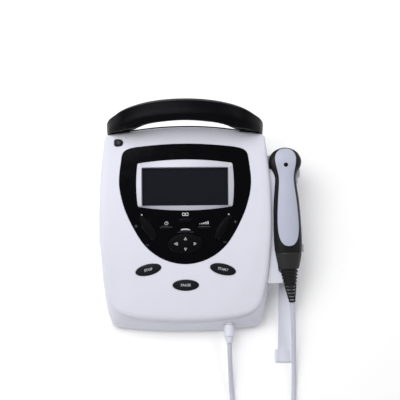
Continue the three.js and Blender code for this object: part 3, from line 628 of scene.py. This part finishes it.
def build_plug():
    """The overmoulded plug: a grip that enters its socket, two rings and a tapered strain relief."""
    profile = [(0, 13.2), (3.7, 13.2), (3.9, 12.9), (3.9, 7.7), (6.9, 7.7), (7.3, 7.3), (7.4, -9),
               (7.1, -9.9), (5.9, -10.6), (5.5, -11.2), (5.9, -11.8), (6.1, -12.8), (5.8, -13.8),
               (5.1, -14.2), (5.1, -14.8), (5.5, -15.2), (5.6, -16.2), (5.2, -17), (4.7, -17.6),
               (4.4, -19), (4.1, -19.9), (0, -19.9)]
    place = WORLD @ Matrix.Translation((SOCKET_X, 0, SOCKET_Z))
    return lathe("overmoulded_plug", list(reversed(profile)), place, "holder_white", replaces=("lead_plug",),
                 sharp=50)


def build_tie():
    """A soft strap round the coil's bundle of turns."""
    centre = Vector((COIL_CENTRE[0], COIL_CENTRE[1] + 38.5, 14.2))
    rings = []
    for x in (-5, -4.6, 4.6, 5):
        inset = 0.35 if abs(x) > 4.8 else 0.0
        rings.append(superellipse(centre + ACROSS * x, ALONG, UP, 8.4 - inset, 14.1 - inset, 40, 0.45))
    return piece("coil_tie", *skin(rings, WORLD), "rubber_grey")


# ---- console

panel_edge = outline(PANEL_EDGE)
parting_edge = outline(PARTING_EDGE)
base_edge = outline(BASE_EDGE)
fascia_edge = outline(FASCIA_EDGE)
flat_edge = outline(FLAT_EDGE)
ledge_edge = between(parting_edge, panel_edge, LEDGE_SHARE)


def edge_inset(along):
    """How far in the rounded rim reaches: less towards the rear corners, where the rim is tight."""
    share = min(max((along - REAR_CORNER) / REAR_CORNER_LENGTH, 0), 1)
    return EDGE_INSET + (REAR_INSET - EDGE_INSET) * ease(share)


def top_outer(extra=0.0):
    """The lid's rounded rim and the squarer body that it fades into."""
    rings = [
        level(parting_edge, -PARTING_DEPTH - extra, extra - 0.5),
        level(parting_edge, -PARTING_DEPTH + 0.5, extra),
        level(grow(between(parting_edge, ledge_edge, 0.5), extra), -(PARTING_DEPTH + LEDGE_DEPTH) / 2),
        level(ledge_edge, -LEDGE_DEPTH - 0.6, extra),
        level(grow(between(ledge_edge, panel_edge, 0.55), extra), RIM_Z - 1.2),
        level(panel_edge, RIM_Z, extra),
    ]
    insets = [edge_inset(p.y) for p in panel_edge]
    inner = grow(panel_edge, [-inset for inset in insets])
    falls = [FALL * (a - b).length for a, b in zip(inner, flat_edge)]
    steps = 8
    for k in range(1, steps + 1):
        angle = math.pi / 2 * k / steps
        ring = grow(panel_edge, [extra - inset * (1 - math.cos(angle)) for inset in insets])
        rings.append([Vector((p.x, p.y, (EDGE_RADIUS - fall) * (math.sin(angle) - 1) - fall + extra))
                      for p, fall in zip(ring, falls)])
    for t in (0.35, 0.7, 1.0):
        rings.append([Vector((*a.lerp(b, t), extra - fall * (1 - t)))
                      for a, b, fall in zip(grow(inner, extra), flat_edge, falls)])
    return skin(rings, PANEL)


def top_inner():
    rings = [
        level(parting_edge, -PARTING_DEPTH - 1, -3),
        level(ledge_edge, -LEDGE_DEPTH - 2, -4),
        level(panel_edge, -6.4, -EDGE_RADIUS - 3),
        level(flat_edge, -3, -2),
    ]
    return skin(rings, PANEL)


def bottom_rings(extra, floor, depth):
    to_world = WORLD.inverted() @ PANEL
    parting = [to_world @ p for p in level(parting_edge, -depth, extra)]
    lip = [to_world @ p for p in level(parting_edge, -depth + 0.5, extra - 0.5)]
    foot_rings = [level(base_edge, floor, extra - 2), level(base_edge, floor + 0.7, extra - 0.7),
                  level(base_edge, floor + 2.2, extra)]
    body = [[a.lerp(b, t) for a, b in zip(foot_rings[-1], parting)] for t in (0.25, 0.5, 0.75)]
    return foot_rings + body + [parting, lip]


def console_solid(extra):
    """The console's outside from base to lid as one simple body."""
    to_world = WORLD.inverted() @ PANEL
    stations = [(parting_edge, -PARTING_DEPTH), (ledge_edge, -LEDGE_DEPTH - 0.6), (panel_edge, RIM_Z),
                (panel_edge, -3)]
    upper = [[to_world @ p for p in level(edge, height, extra)] for edge, height in stations]
    return skin(bottom_rings(extra, BASE_Z - 0.4, PARTING_DEPTH)[:-2] + upper, WORLD)


PORT_Y, PORT_Z = 154.5, 40


def socket_hole():
    return rod_mesh("y", 8.3, -10, 26, (SOCKET_X, 0, SOCKET_Z), WORLD)


def window_hole():
    half = WINDOW_HALF + GAP
    return box_mesh((-half, WINDOW_LOW - GAP, -9), (half, WINDOW_HIGH + GAP, 3), PANEL)


def build_shells():
    top = solid(*top_outer(), "top_shell")
    holes = [top_inner(), skin([level(fascia_edge, h, GAP) for h in (-1.2, 3)], PANEL), window_hole()]
    holes += [key_mesh(entry, -9) for entry in ALL_KEYS]
    boolean(top, holes + [socket_hole()])
    bottom = solid(*skin(bottom_rings(0, BASE_Z, PARTING_DEPTH + 0.6), WORLD), "bottom_shell")
    holes = [skin(bottom_rings(-3, BASE_Z + 3, PARTING_DEPTH - 2), WORLD)]
    holes += [rod_mesh("z", 2.4, 0, 12, (x, y, 0), WORLD, 24) for x, y in SCREWS]
    holes += [rod_mesh("z", 4.3, 0, 6.2, (x, y, 0), WORLD, 32) for x, y in SCREWS]
    holes += [socket_hole(), rod_mesh("y", 6.3, 268, 300, (-58, 0, 30), WORLD)]
    holes.append(box_mesh((-61, 149, 0), (41, 233, 9), WORLD))
    holes.append(box_mesh((-140, PORT_Y - 25, PORT_Z - 9), (-110, PORT_Y + 25, PORT_Z + 9), WORLD))
    holes += [box_mesh((12 + i * 8, 268, 20), (15 + i * 8, 300, 48), WORLD) for i in range(7)]
    boolean(bottom, holes)
    for shell, node in ((top, "top_housing"), (bottom, "bottom_housing")):
        dress(soften(shell, 0.3), "shell_white", replaces=(node,))


# ---- panel


def power_outline():
    half = [(-6.2, 0), (-6, -3.6), (-4, -4.9), (1, -4.9), (4.8, -3.4), (6.2, 0)]
    return spline(half + [(x, -y) for x, y in reversed(half[1:-1])], True, 6)


def key(name, u, s, turn, shape, foot=-4.6, top=1.6, radius=0.8, crown=0.5, material="key_black", cap=None):
    """A key: its place and turn on the panel, its hole's shape, its heights, edge, crown, finish and cap."""
    return dict(name=name, u=u, s=s, turn=math.radians(turn), shape=shape, foot=foot, top=top,
                radius=radius, crown=crown, material=material, cap=cap or shape)


def half_moon(width, height):
    """A dome-shaped outline with a gently arched foot, inside an ellipse of the same width."""
    angles = [math.pi * k / 16 for k in range(17)]
    top = [(width / 2 * math.cos(angle), height / 2 * math.sin(angle)) for angle in angles]
    foot = [(width / 2 * x / 8, -0.4 + 0.5 * (1 - (x / 8) ** 2)) for x in range(-7, 8)]
    return [Vector(p) for p in top + foot]


KEY_CLEARANCE = 0.6
WIDE = ellipse(38, 15.5)
SMALL = ellipse(20, 7.5)
WHITE_KEYS = [
    key("stop_key", -55, 79, 13, WIDE),
    key("pause_key", 0, 56, 0, WIDE),
    key("start_key", 55, 79, -13, WIDE),
    key("power_key", -98, 267, 0, power_outline(), crown=0.3),
]
FASCIA_KEYS = [
    key("library_key", 0, 151.5, 0, SMALL, crown=0.4, material="nav_black"),
    key("time_key", -28, 141, 0, SMALL, crown=0.4, material="nav_black"),
    key("dose_key", 28, 141, 0, SMALL, crown=0.4, material="nav_black"),
    key("back_key", 0, 137, 0, ellipse(15.5, 4.6), top=1.1, radius=0.4, crown=0.0, material="frame_silver",
        cap=half_moon(14.5, 4.6)),
    *[key(name, u, 140.8, turn, ellipse(40, 13), foot=-2.6, top=1.7, radius=1.1, material="nav_black")
      for name, u, turn in (("left_rocker", -55.3, 122), ("right_rocker", 55.3, 58))],
    key("nav_pad", 0, 117, 0, ellipse(50, 30, 96), foot=-1.9, top=1.8, radius=1.4, crown=0.7,
        material="nav_black"),
]
ALL_KEYS = WHITE_KEYS + FASCIA_KEYS


def key_place(entry):
    return PANEL @ Matrix.Translation((entry["u"], entry["s"], 0)) @ Matrix.Rotation(entry["turn"], 4, "Z")


def key_mesh(entry, low):
    """The hole for a key, from a depth to above the panel."""
    return skin([level(entry["shape"], h, KEY_CLEARANCE) for h in (low, 3)], key_place(entry))


def build_keys():
    for entry in ALL_KEYS:
        rings = slab_rings(entry["cap"], entry["foot"], entry["top"], entry["radius"], 5, entry["crown"])
        piece(entry["name"] + "_cap", *skin(rings, key_place(entry)), entry["material"], entry["name"],
              (entry["name"],), sharp=50, flat_first=False)


def build_fascia():
    fascia = solid(*skin(slab_rings(fascia_edge, -0.9, 0.4, 0.4, 3), PANEL), "fascia_overlay")
    boolean(fascia, [window_hole()] + [key_mesh(entry, -5) for entry in FASCIA_KEYS])
    dress(fascia, "gloss_black", replaces=("fascia_panel",))


BEZEL_CORNERS = [(-70.3, 171.6), (70.3, 171.6), (70.5, 236.4), (-70.5, 236.4)]
BEZEL_BULGES = (5.4, 1.8, 5.1, 1.8)
WINDOW_CORNERS = [(-WINDOW_HALF, WINDOW_LOW), (WINDOW_HALF, WINDOW_LOW), (WINDOW_HALF, WINDOW_HIGH),
                  (-WINDOW_HALF, WINDOW_HIGH)]


def four_sided(corners, bulges, radius, along=14, around=6):
    """A four-sided outline with rounded corners and sides that bulge outwards."""
    points = []
    for i in range(4):
        start, end = Vector(corners[i]), Vector(corners[(i + 1) % 4])
        run, arrive = (end - start).normalized(), (start - Vector(corners[i - 1])).normalized()
        side_out, next_out = Vector((arrive.y, -arrive.x)), Vector((run.y, -run.x))
        centre = start + (run - arrive) * radius
        for angle in (math.pi / 2 * k / around for k in range(around)):
            points.append(centre + (side_out * math.cos(angle) + next_out * math.sin(angle)) * radius)
        first, last = start + run * radius, end - run * radius
        for t in (k / along for k in range(along)):
            points.append(first.lerp(last, t) + next_out * bulges[i] * 4 * t * (1 - t))
    return points


def build_display():
    """The bezel: four broad bands that slope up to a fine lip, then drop to the window."""
    outer = four_sided(BEZEL_CORNERS, BEZEL_BULGES, 3)
    inner = four_sided(WINDOW_CORNERS, (0, 0, 0, 0), 1)
    profile = [(0.0, 0.0, 0.65), (0.0, 0.0, 1.3), (0.0, -0.25, 1.65), (0.0, -0.7, 1.85), (0.82, 0.0, 4.8),
               (0.87, 0.0, 4.95), (0.91, 0.0, 4.6), (1.0, 0.0, 0.9), (1.0, 0.0, 0.25), (0.9, 0.0, 0.65)]
    rings = [level(grow(between(outer, inner, share), inset), height) for share, inset, height in profile]
    piece("display_bezel", *skin(rings, PANEL, True), "frame_silver", "console", ("display_frame",), sharp=16)
    rounded_box("display_glass", (-WINDOW_HALF, WINDOW_LOW, -1.3), (WINDOW_HALF, WINDOW_HIGH, 0.1), 0.3,
                "window_dark", PANEL, replaces=("display_window",))


def flat_mark(name, outlines, height, matrix, body, material="print_bright", thickness=0.06):
    """A printed mark or a painted highlight: flat shapes raised by a film's thickness above a key or the
    fascia.
    """
    vertices, faces = [], []
    for points in outlines:
        rings = [[Vector((*point, h)) for point in points] for h in (height, height + thickness)]
        corners, sides = skin(rings, matrix)
        faces += [tuple(len(vertices) + i for i in face) for face in sides]
        vertices += corners
    return piece(name, vertices, faces, material, body, flat_first=False, sharp=20)


def bar(x, y, width, height):
    a, b = width / 2, height / 2
    return [(x - a, y - b), (x + a, y - b), (x + a, y + b), (x - a, y + b)]


def hollow(points, width):
    """A polygon's outline as four-sided bars, drawn between it and the same polygon made smaller."""
    middle = sum((Vector(p) for p in points), Vector((0, 0))) / len(points)
    reach = min((Vector(p) - middle).length for p in points)
    inner = [middle + (Vector(p) - middle) * (1 - width / reach) for p in points]
    return [[points[i - 1], points[i], tuple(inner[i]), tuple(inner[i - 1])] for i in range(len(points))]


def arc_line(x, y, half, rise, width, steps=10):
    """A thin line that rises in its middle."""
    shares = [2 * k / steps - 1 for k in range(steps + 1)]
    line = [(x + half * share, y + rise * (1 - share**2)) for share in shares]
    return [[a, b, (b[0], b[1] + width), (a[0], a[1] + width)] for a, b in zip(line, line[1:])]


def ring_bars(x, y, radius, width, sides=24, start=0.0, end=1.0):
    shapes = []
    for i in range(int(sides * start), int(sides * end)):
        a, b = (2 * math.pi * k / sides for k in (i, i + 1))
        shapes.append([(x + r * math.cos(t), y + r * math.sin(t)) for r, t in
                       ((radius, a), (radius, b), (radius - width, b), (radius - width, a))])
    return shapes


def word(name, text, size, height, matrix, body):
    """A printed word, as flat letters raised by a film's thickness."""
    curve = bpy.data.curves.new(name, "FONT")
    curve.body = text
    curve.size = size
    curve.align_x = "CENTER"
    curve.align_y = "CENTER"
    curve.extrude = 0.05
    curve.offset = 0.03
    curve.resolution_u = 3
    source = add(name, curve)
    bpy.context.view_layer.update()
    mesh = bpy.data.meshes.new_from_object(source)
    bpy.data.objects.remove(source)
    mesh.transform(matrix @ Matrix.Translation((0, 0, height)))
    return dress(add(name, mesh), "print_bright", body, sharp=30, flat_first=False)


# The height of the marks printed on the fascia.
FASCIA_PRINT = 0.42


def build_marks():
    for entry, text in zip(WHITE_KEYS, ("STOP", "PAUSE", "START")):
        height = entry["top"] + entry["crown"] + 0.02
        word(text.lower() + "_label", text, 5.2, height, key_place(entry), entry["name"])
    power = ring_bars(-98, 267, 1.9, 0.5, 24, 0.33, 1.17)
    flat_mark("power_symbol", power + [bar(-98, 268.8, 0.5, 1.9)], 1.92, PANEL, "power_key", "print_dim")
    arrows = []
    for turn, reach in ((0, 14.3), (1, 7.6), (2, 15), (3, 8.2)):
        angle = turn * math.pi / 2
        shapes = hollow([(reach - 2, -2.2), (reach + 2.1, 0), (reach - 2, 2.2)], 1.1)
        if turn == 2:
            shapes.append(bar(reach - 3.2, 0, 0.8, 4.2))
        for shape in shapes:
            arrows.append([(x * math.cos(angle) - y * math.sin(angle),
                            117 + x * math.sin(angle) + y * math.cos(angle)) for x, y in shape])
    flat_mark("nav_arrows", arrows, 2.42, PANEL, "nav_pad")
    signs = [bar(u, s, *size) for u, s in ((-72.8, 143.4), (74, 149)) for size in ((4.4, 0.55), (0.55, 4.4))]
    signs += [bar(u, s, 4.6, 0.6) for u, s in ((-56.5, 115.5), (58.5, 119))]
    signs += arc_line(-8.4, 133.6, 3.4, 0.5, 0.3, 6) + arc_line(9.4, 133.6, 3.4, 0.5, 0.3, 6)
    flat_mark("fascia_signs", signs, FASCIA_PRINT, PANEL, "console", "print_dim")
    clock = ring_bars(-28, 147.3, 2.7, 0.6) + [bar(-28, 148.2, 0.5, 1.8), bar(-27.4, 147.4, 1.4, 0.5)]
    bars = [bar(21.5 + i * 3, 146.2 + i * 0.4, 1.6, 0.9 + i * 0.8) for i in range(5)]
    pages = hollow([(-4.5, 158.2), (-0.2, 158.2), (-0.2, 162.4), (-4.5, 163)], 1.0)
    pages += hollow([(0.2, 158.2), (4.5, 158.2), (4.5, 163), (0.2, 162.4)], 1.0)
    flat_mark("fascia_symbols", clock + bars + pages, FASCIA_PRINT, PANEL, "console")
    # The arched pale lines along the time and dose keys' lower edges are a painted highlight, drawn in the
    # dim print finish.
    for u, name in ((-28, "time_key"), (28, "dose_key")):
        flat_mark(name + "_line", arc_line(u, 141.3, 8.6, 0.6, 0.35), 2.05, PANEL, name, "print_dim")
    dots = [[(u + 1.1 * c, 160 + 1.1 * s) for c, s in circle(16)] for u in (-64.3, 64.3)]
    flat_mark("fascia_dots", dots, FASCIA_PRINT, PANEL, "console", "frame_silver", 0.25)


# ---- handle

# Stations of the arch from its left or right foot to its top: x, y, z, half width and half depth.
HANDLE = [
    (100, 290, 60, 18, 13), (100, 290, 84, 18.3, 14), (97.5, 289, 105, 17.5, 15), (89, 290, 122, 16, 14.5),
    (77, 293, 135.5, 14.5, 14.5), (56.5, 297.5, 143.5, 13, 14.5), (29, 300.5, 147.6, 12.3, 15),
    (0, 301.5, 149.3, 12, 15),
]
# The walls are thicker in the legs, from LEG_TOP down over LEG_BLEND.
WALL, LEG_WALL = 3, 11.5
LEG_TOP, LEG_BLEND = 125, 18
# The bead along the ridge, whose lighter grey is a painted highlight: shares of the section's half depth and
# half width, its radius and lowest height.
BEAD_PLACE, BEAD_RADIUS, BEAD_FROM = (0.64, 1.02), 0.8, 126
# The arch's section in shares of its half depth (rearwards) and half width (outwards).
FRONT_ARC = [(0.68, 1.0), (0.2, 0.97), (-0.35, 0.9), (-0.83, 0.68), (-1.0, 0.2), (-0.94, -0.45),
             (-0.6, -0.92), (0.1, -1.0)]
REAR_ARC = [(0.14, -1.0), (0.6, -0.85), (0.92, -0.4), (1.0, 0.1), (0.98, 0.5), (0.9, 0.8), (0.72, 0.99)]


def handle_frames(steps=5):
    """The arch's centre, half sizes and two section directions at each step along it."""
    left = [(-x, *rest) for x, *rest in HANDLE]
    stations = left + list(reversed(HANDLE[:-1]))
    path = spline([s[:3] for s in stations], False, steps)
    sizes = spline([(s[3], s[4], 0) for s in stations], False, steps)
    frames = []
    for i, (centre, size) in enumerate(zip(path, sizes)):
        tangent = (path[min(i + 1, len(path) - 1)] - path[max(i - 1, 0)]).normalized()
        depth = Vector((0, 1, -0.12))
        depth = (depth - tangent * depth.dot(tangent)).normalized()
        frames.append((centre, size, depth, tangent.cross(depth).normalized()))
    return frames


def handle_rings(arc):
    """A shell's rings along the arch; its wall thickens in the legs, which the panel's edge cuts into."""
    edge = spline([(d, r, 0) for d, r in arc], False, 4)
    rings = []
    for centre, size, depth, outwards in handle_frames():
        outer = [centre + depth * p.x * size.y + outwards * p.y * size.x for p in edge]
        wall = WALL + (LEG_WALL - WALL) * min(max((LEG_TOP - centre.z) / LEG_BLEND, 0), 1)
        inner = [centre + depth * p.x * (size.y - wall) + outwards * p.y * (size.x - wall) for p in edge]
        rings.append(outer + inner[::-1])
    return rings


def build_handle():
    for name, arc, node in (("handle_front", FRONT_ARC, "handle_front_shell"),
                            ("handle_rear", REAR_ARC, "handle_rear_shell")):
        shell = solid(*skin(handle_rings(arc), WORLD), name)
        fix_normals(shell)
        boolean(shell, [top_outer(0.4), skin(bottom_rings(0.4, BASE_Z - 0.4, PARTING_DEPTH), WORLD),
                        skin([level(panel_edge, h, 0.4) for h in (-PARTING_DEPTH, 60)], PANEL)])
        dress(soften(shell, 0.5, 2, 40), "handle_black", replaces=(node,), sharp=40)
    back, out = BEAD_PLACE
    crest = [WORLD @ (centre + depth * back * size.y + outwards * out * size.x)
             for centre, size, depth, outwards in handle_frames() if centre.z > BEAD_FROM]
    # The bead's lighter grey is a painted highlight along the ridge.
    bead = tube("handle_ridge_highlight_bead", crest, BEAD_RADIUS * MM, "ridge_grey")
    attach(bead, "console")
    strip = solid(*skin([level(panel_edge, h, 2.2) for h in (-15, -8)], PANEL), "handle_rear_strip")
    boolean(strip, [box_mesh((-80, 262, -20), (80, 312, 0), PANEL)], "INTERSECT")
    boolean(strip, [top_outer(0.35)])
    dress(soften(strip, 0.6), "handle_black")


def fix_normals(obj):
    mesh = bmesh.new()
    mesh.from_mesh(obj.data)
    bmesh.ops.recalc_face_normals(mesh, faces=mesh.faces)
    mesh.to_mesh(obj.data)
    mesh.free()


# ---- applicator and holder

def section_ring(along, half_width, half_height, power=0.85):
    """A rounded section square to the applicator's length."""
    return list(reversed(superellipse(ALONG * along, ACROSS, UP, half_width, half_height, 64, power)))


def grip_skin(shrink, lift=0):
    """The grip made smaller all round, or larger where shrink is negative, and lifted."""
    rings = [section_ring(along, max(width - shrink, 0.5), max(height - shrink, 0.5))
             for along, width, height in spline(GRIP_STATIONS, False, 5)]
    return skin([[p + UP * lift for p in ring] for ring in rings], APPLICATOR)


def insert_prism(growth):
    return skin([level(grow(outline(INSERT_EDGE, 6), growth), h) for h in (2, 40)], APPLICATOR)


def head_step(radius, low, high, sides=64):
    return rod_mesh("z", radius, low, high, (0, HEAD_ALONG, 0), APPLICATOR, sides)


def build_applicator():
    grip = solid(*grip_skin(0), "grip_body")
    boolean(grip, [head_step(16.5, -27, -4)], "UNION")
    pocket = boolean(solid(*insert_prism(0.25)), [grip_skin(1.3)])
    boolean(grip, [pocket])
    dress(soften(grip, 0.35, 2, 30), "grip_black", "applicator", ("applicator_grip",))
    insert = solid(*grip_skin(-0.15), "pale_insert")
    boolean(insert, [insert_prism(0)], "INTERSECT")
    boolean(insert, [grip_skin(1.1), head_step(3.2, 5, 30)])
    dress(soften(insert, 0.3, 2, 30), "insert_grey", "applicator", ("grip_insert",))
    head_place = APPLICATOR @ Matrix.Translation((0, HEAD_ALONG, 0)) @ Matrix.Rotation(math.pi / 2, 4, "X")
    lens = [(0, 11), (2.7, 11), (2.8, 14), (2.6, 14.6), (2, 15), (1, 15.2), (0, 15.25)]
    lathe("status_lens", lens, head_place, "gloss_black", "applicator", ("indicator_lens",))
    build_sound_head(head_place)
    build_collar()
    build_relief()


def build_sound_head(place):
    profile = [(0, -36), (17.2, -36), (17.9, -35.5), (18, -34.6), (18, -30.4), (17.7, -29.8), (16.2, -29.4),
               (15.8, -28.6), (15.8, -27.3), (0, -27.3)]
    lathe("treatment_head", profile, place, "head_aluminium", "applicator", ("sound_head",), 96)
    face_ring = [(14.4, -36.1), (14.8, -36.25), (15.6, -36.25), (16, -36.1), (16, -35.8), (14.4, -35.8)]
    rings = [round_ring(radius, along, 96) for radius, along in face_ring]
    piece("treatment_face_ring", *skin(rings, place, True), "head_aluminium", "applicator")


def build_collar():
    stations = [(50.3, 14.1, 12.4), (51.2, 14.8, 12.9), (58, 16.6, 13.9), (67, 18.6, 14.9),
                (73.8, 19.4, 15.3), (74.9, 19, 14.9)]
    rings = [section_ring(*station, 0.9) for station in spline(stations, False, 4)]
    piece("grip_cone", *skin(rings, APPLICATOR), "collar_grey", "applicator", ("grip_collar",))


def relief_shift(along):
    """How far the bend relief bows sideways at a distance along it."""
    return RELIEF_BOW * max(1 - along / RELIEF_LENGTH, 0) ** 1.5


def bowed_skin(profile):
    """A ring turned from a profile of (radius, along), and bowed with the relief."""
    rings = [round_ring(radius, along) for radius, along in profile]
    return skin([[p + ACROSS * relief_shift(p.y) for p in ring] for ring in rings], APPLICATOR, True)


def build_relief():
    """The bend relief: ribs on a solid core near the grip, and open windows between ribs towards the tip."""
    core = [(4, 24.4), (7.4, 24.4), (8.2, 27), (10.1, 38), (11.9, 49.6), (4, 49.6)]
    piece("bend_relief_core", *bowed_skin(core), "grip_black", "applicator")
    for i in range(RELIEF_RIBS):
        start = 0.4 + i * RELIEF_PITCH
        radius = 4.6 + start * 0.18
        bore = 3.8 if i < RELIEF_RIBS / 2 else radius - 1.6
        profile = [(bore, start), (radius - 0.3, start), (radius + 0.1, start + 0.5),
                   (radius + 0.45, start + 2.5), (radius + 0.1, start + 3.1), (bore, start + 3.1)]
        names = ("bend_relief",) if i == 0 else ()
        piece(f"bend_relief_rib_{i + 1}", *bowed_skin(profile), "grip_black", "applicator", names)
        if i < RELIEF_RIBS / 2:
            shift = Matrix.Translation((relief_shift(start + 4), 0, 0))
            for side, label in ((-1, "left"), (1, "right")):
                reach = sorted((side * (radius - 1.5), side * (radius + 0.2)))
                rounded_box(f"bend_relief_{label}_bridge_{i + 1}", (reach[0], start + 2.8, -2.4),
                            (reach[1], start + 5.2, 2.4), 0.3, "grip_black", APPLICATOR @ shift, "applicator")
    stub = [APPLICATOR @ Vector((relief_shift(along), along, 0)) for along in (0.2, 5, 10, 15, 20, 25)]
    inner = tube("lead_in_relief", stub, LEAD_RADIUS * MM, "lead_white")
    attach(inner, "applicator")


def build_holder():
    """The cradle: a tray under the grip, a flange and a deck beside it, two ribs and a cup for the head."""
    tray = [(-40, 38), (-9, 38), (14, 46), (14, 182), (24, 188), (24, 222), (-40, 222)]
    plate = [[Vector((*p, height)) for p in tray] for height in (-23, -19)]
    bracket = solid(*skin(plate, APPLICATOR), "holder_cradle")
    boxes = [((-39, 44, -34), (-25.5, 216, -4)), ((-41, 30.1, -6), (-8, 200, 4)),
             ((-30, 74, -22), (24, 86, -5)), ((-30, 178, -22), (19, 187, -5))]
    extra = [box_mesh(low, high, APPLICATOR) for low, high in boxes]
    boolean(bracket, extra + [head_step(24.5, -42, -20, 96)], "UNION")
    sleeve = [(20, 9.5, 9.5), (44, 13, 13), (48, 17, 14.5), (58, 17.5, 14.8), (67, 19.4, 15.8),
              (76, 20.6, 16.5)]
    room = [console_solid(0.35), head_step(20, -39, 40, 96), grip_skin(-0.7),
            box_mesh((-15, 60, -15), (15, 224, 40), APPLICATOR),
            skin([section_ring(*station, 0.9) for station in sleeve], APPLICATOR)]
    boolean(bracket, room + [grip_skin(-0.7, lift) for lift in (4, 9, 14)])
    dress(soften(bracket, 0.8, 3, 35), "holder_white", replaces=("holder_bracket",))


ARM_ROUTE = [(148, -44.5, 2.4), (148.2, -34, 2.4), (148.8, -22, 2.4), (149.4, -12, 3.1), (150.4, 10, 5.3),
             (151, 32, 8.7), (151.6, 54, 12.7), (152.2, 72, 16.1)]
ARM_HALF_WIDTH = 11.5


def arm_section(steps=14):
    """A shallow channel seen end on: raised rims, a sunken middle and a flat underside."""
    half = ARM_HALF_WIDTH
    shares = [math.cos(math.pi * k / steps) for k in range(steps + 1)]
    top = [(half * share * 0.97, 0.9 + 1.5 * share**4) for share in shares]
    foot = [(-half, 1.7), (-half, -1.4), (0.8 - half, -2.2), (half - 0.8, -2.2)]
    return [(half, -1.4), (half, 1.7)] + top + foot


def build_holder_arm():
    section = arm_section()
    rings = [[point - ACROSS * u + UP * v for u, v in section] for point in spline(ARM_ROUTE, False, 8)]
    piece("lead_rest_arm", *skin(rings, WORLD), "holder_white", "console", ("holder_arm",))
    rounded_box("lead_rest_foot", (132.5, -46, 0.1), (160.7, -27, 3.6), 1.4, "holder_white")


# ---- sides, back and underside


def build_port_door():
    front, rear = PORT_Y - 26.6, PORT_Y + 26.6
    rounded_box("port_door_plate", (-130, front, 29.8), (-126.2, rear, 50.5), 1.1, body="port_door",
                replaces=("port_door",))
    knuckle = rod_mesh("y", 2.6, front, rear, (-126.6, 0, 27.6), WORLD)
    piece("port_door_knuckle", *knuckle, "shell_white", "port_door")
    rounded_box("port_door_web", (-129, front, 27.6), (-126.6, rear, 30.8), 0.3, body="port_door")
    rounded_box("port_door_finger_rib", (-130.6, PORT_Y - 8, 47), (-129.4, PORT_Y + 8, 48.4), 0.4,
                body="port_door")
    for label, y in (("front", PORT_Y - 28.6), ("rear", PORT_Y + 28.6)):
        rounded_box(f"port_lug_{label}", (-129, y - 1.6, 25.2), (-121, y + 1.6, 30), 0.4)


def upright(x, y):
    """The place of a turned piece whose length points upwards."""
    return WORLD @ Matrix.Translation((x, y, 0)) @ Matrix.Rotation(math.pi / 2, 4, "X")


def build_underside():
    for i, (x, y) in enumerate(FEET):
        profile = [(0, 0), (6.4, 0), (7, 0.4), (7.6, 2.2), (7.8, 3.7), (0, 3.7)]
        lathe(f"foot_pad_{i + 1}", profile, upright(x, y), "rubber_grey", replaces=(f"rubber_foot_{i + 1}",))
    for i, (x, y) in enumerate(SCREWS):
        profile = [(0, 5.4), (2.6, 5.45), (3.5, 6), (3.7, 6.8), (3.7, 8.6), (1.9, 8.7), (1.9, 20), (0, 21)]
        screw = lathe(f"case_screw_{i + 1}", profile, upright(x, y), "steel", body=None, sharp=30)
        boolean(screw, [box_mesh((x - a, y - b, 4), (x + a, y + b, 6.6), WORLD)
                        for a, b in ((2.2, 0.45), (0.45, 2.2))])
        dress(screw, "steel", replaces=(f"housing_screw_{i + 1}",), sharp=30)
    rounded_box("battery_door", (-60.6, 149.4, 4.4), (40.6, 232.6, 7.2), 0.6, replaces=("battery_cover",))
    for i in range(5):
        y = 156 + i * 3
        rounded_box(f"battery_door_rib_{i + 1}", (-22, y, 3.9), (2, y + 1.2, 5), 0.3)
    rounded_box("rating_plate", (-40, 70, 3.7), (40, 120, 4.3), 0.25, "frame_silver")


def dress_inner_nodes():
    """Gives every CAD node the finish of its slot, for the nodes that no piece replaces."""
    for entry in frame["record"]["subparts"]:
        materials = frame["nodes"][entry["node"]].data.materials
        materials.clear()
        materials.append(MATERIALS[entry["material_slot"]])


# ---- making

build_camera()
build_lead()
dress_inner_nodes()
build_shells()
build_keys()
build_fascia()
build_display()
build_marks()
build_handle()
build_applicator()
build_holder()
build_holder_arm()
build_port_door()
build_underside()
build_studio()
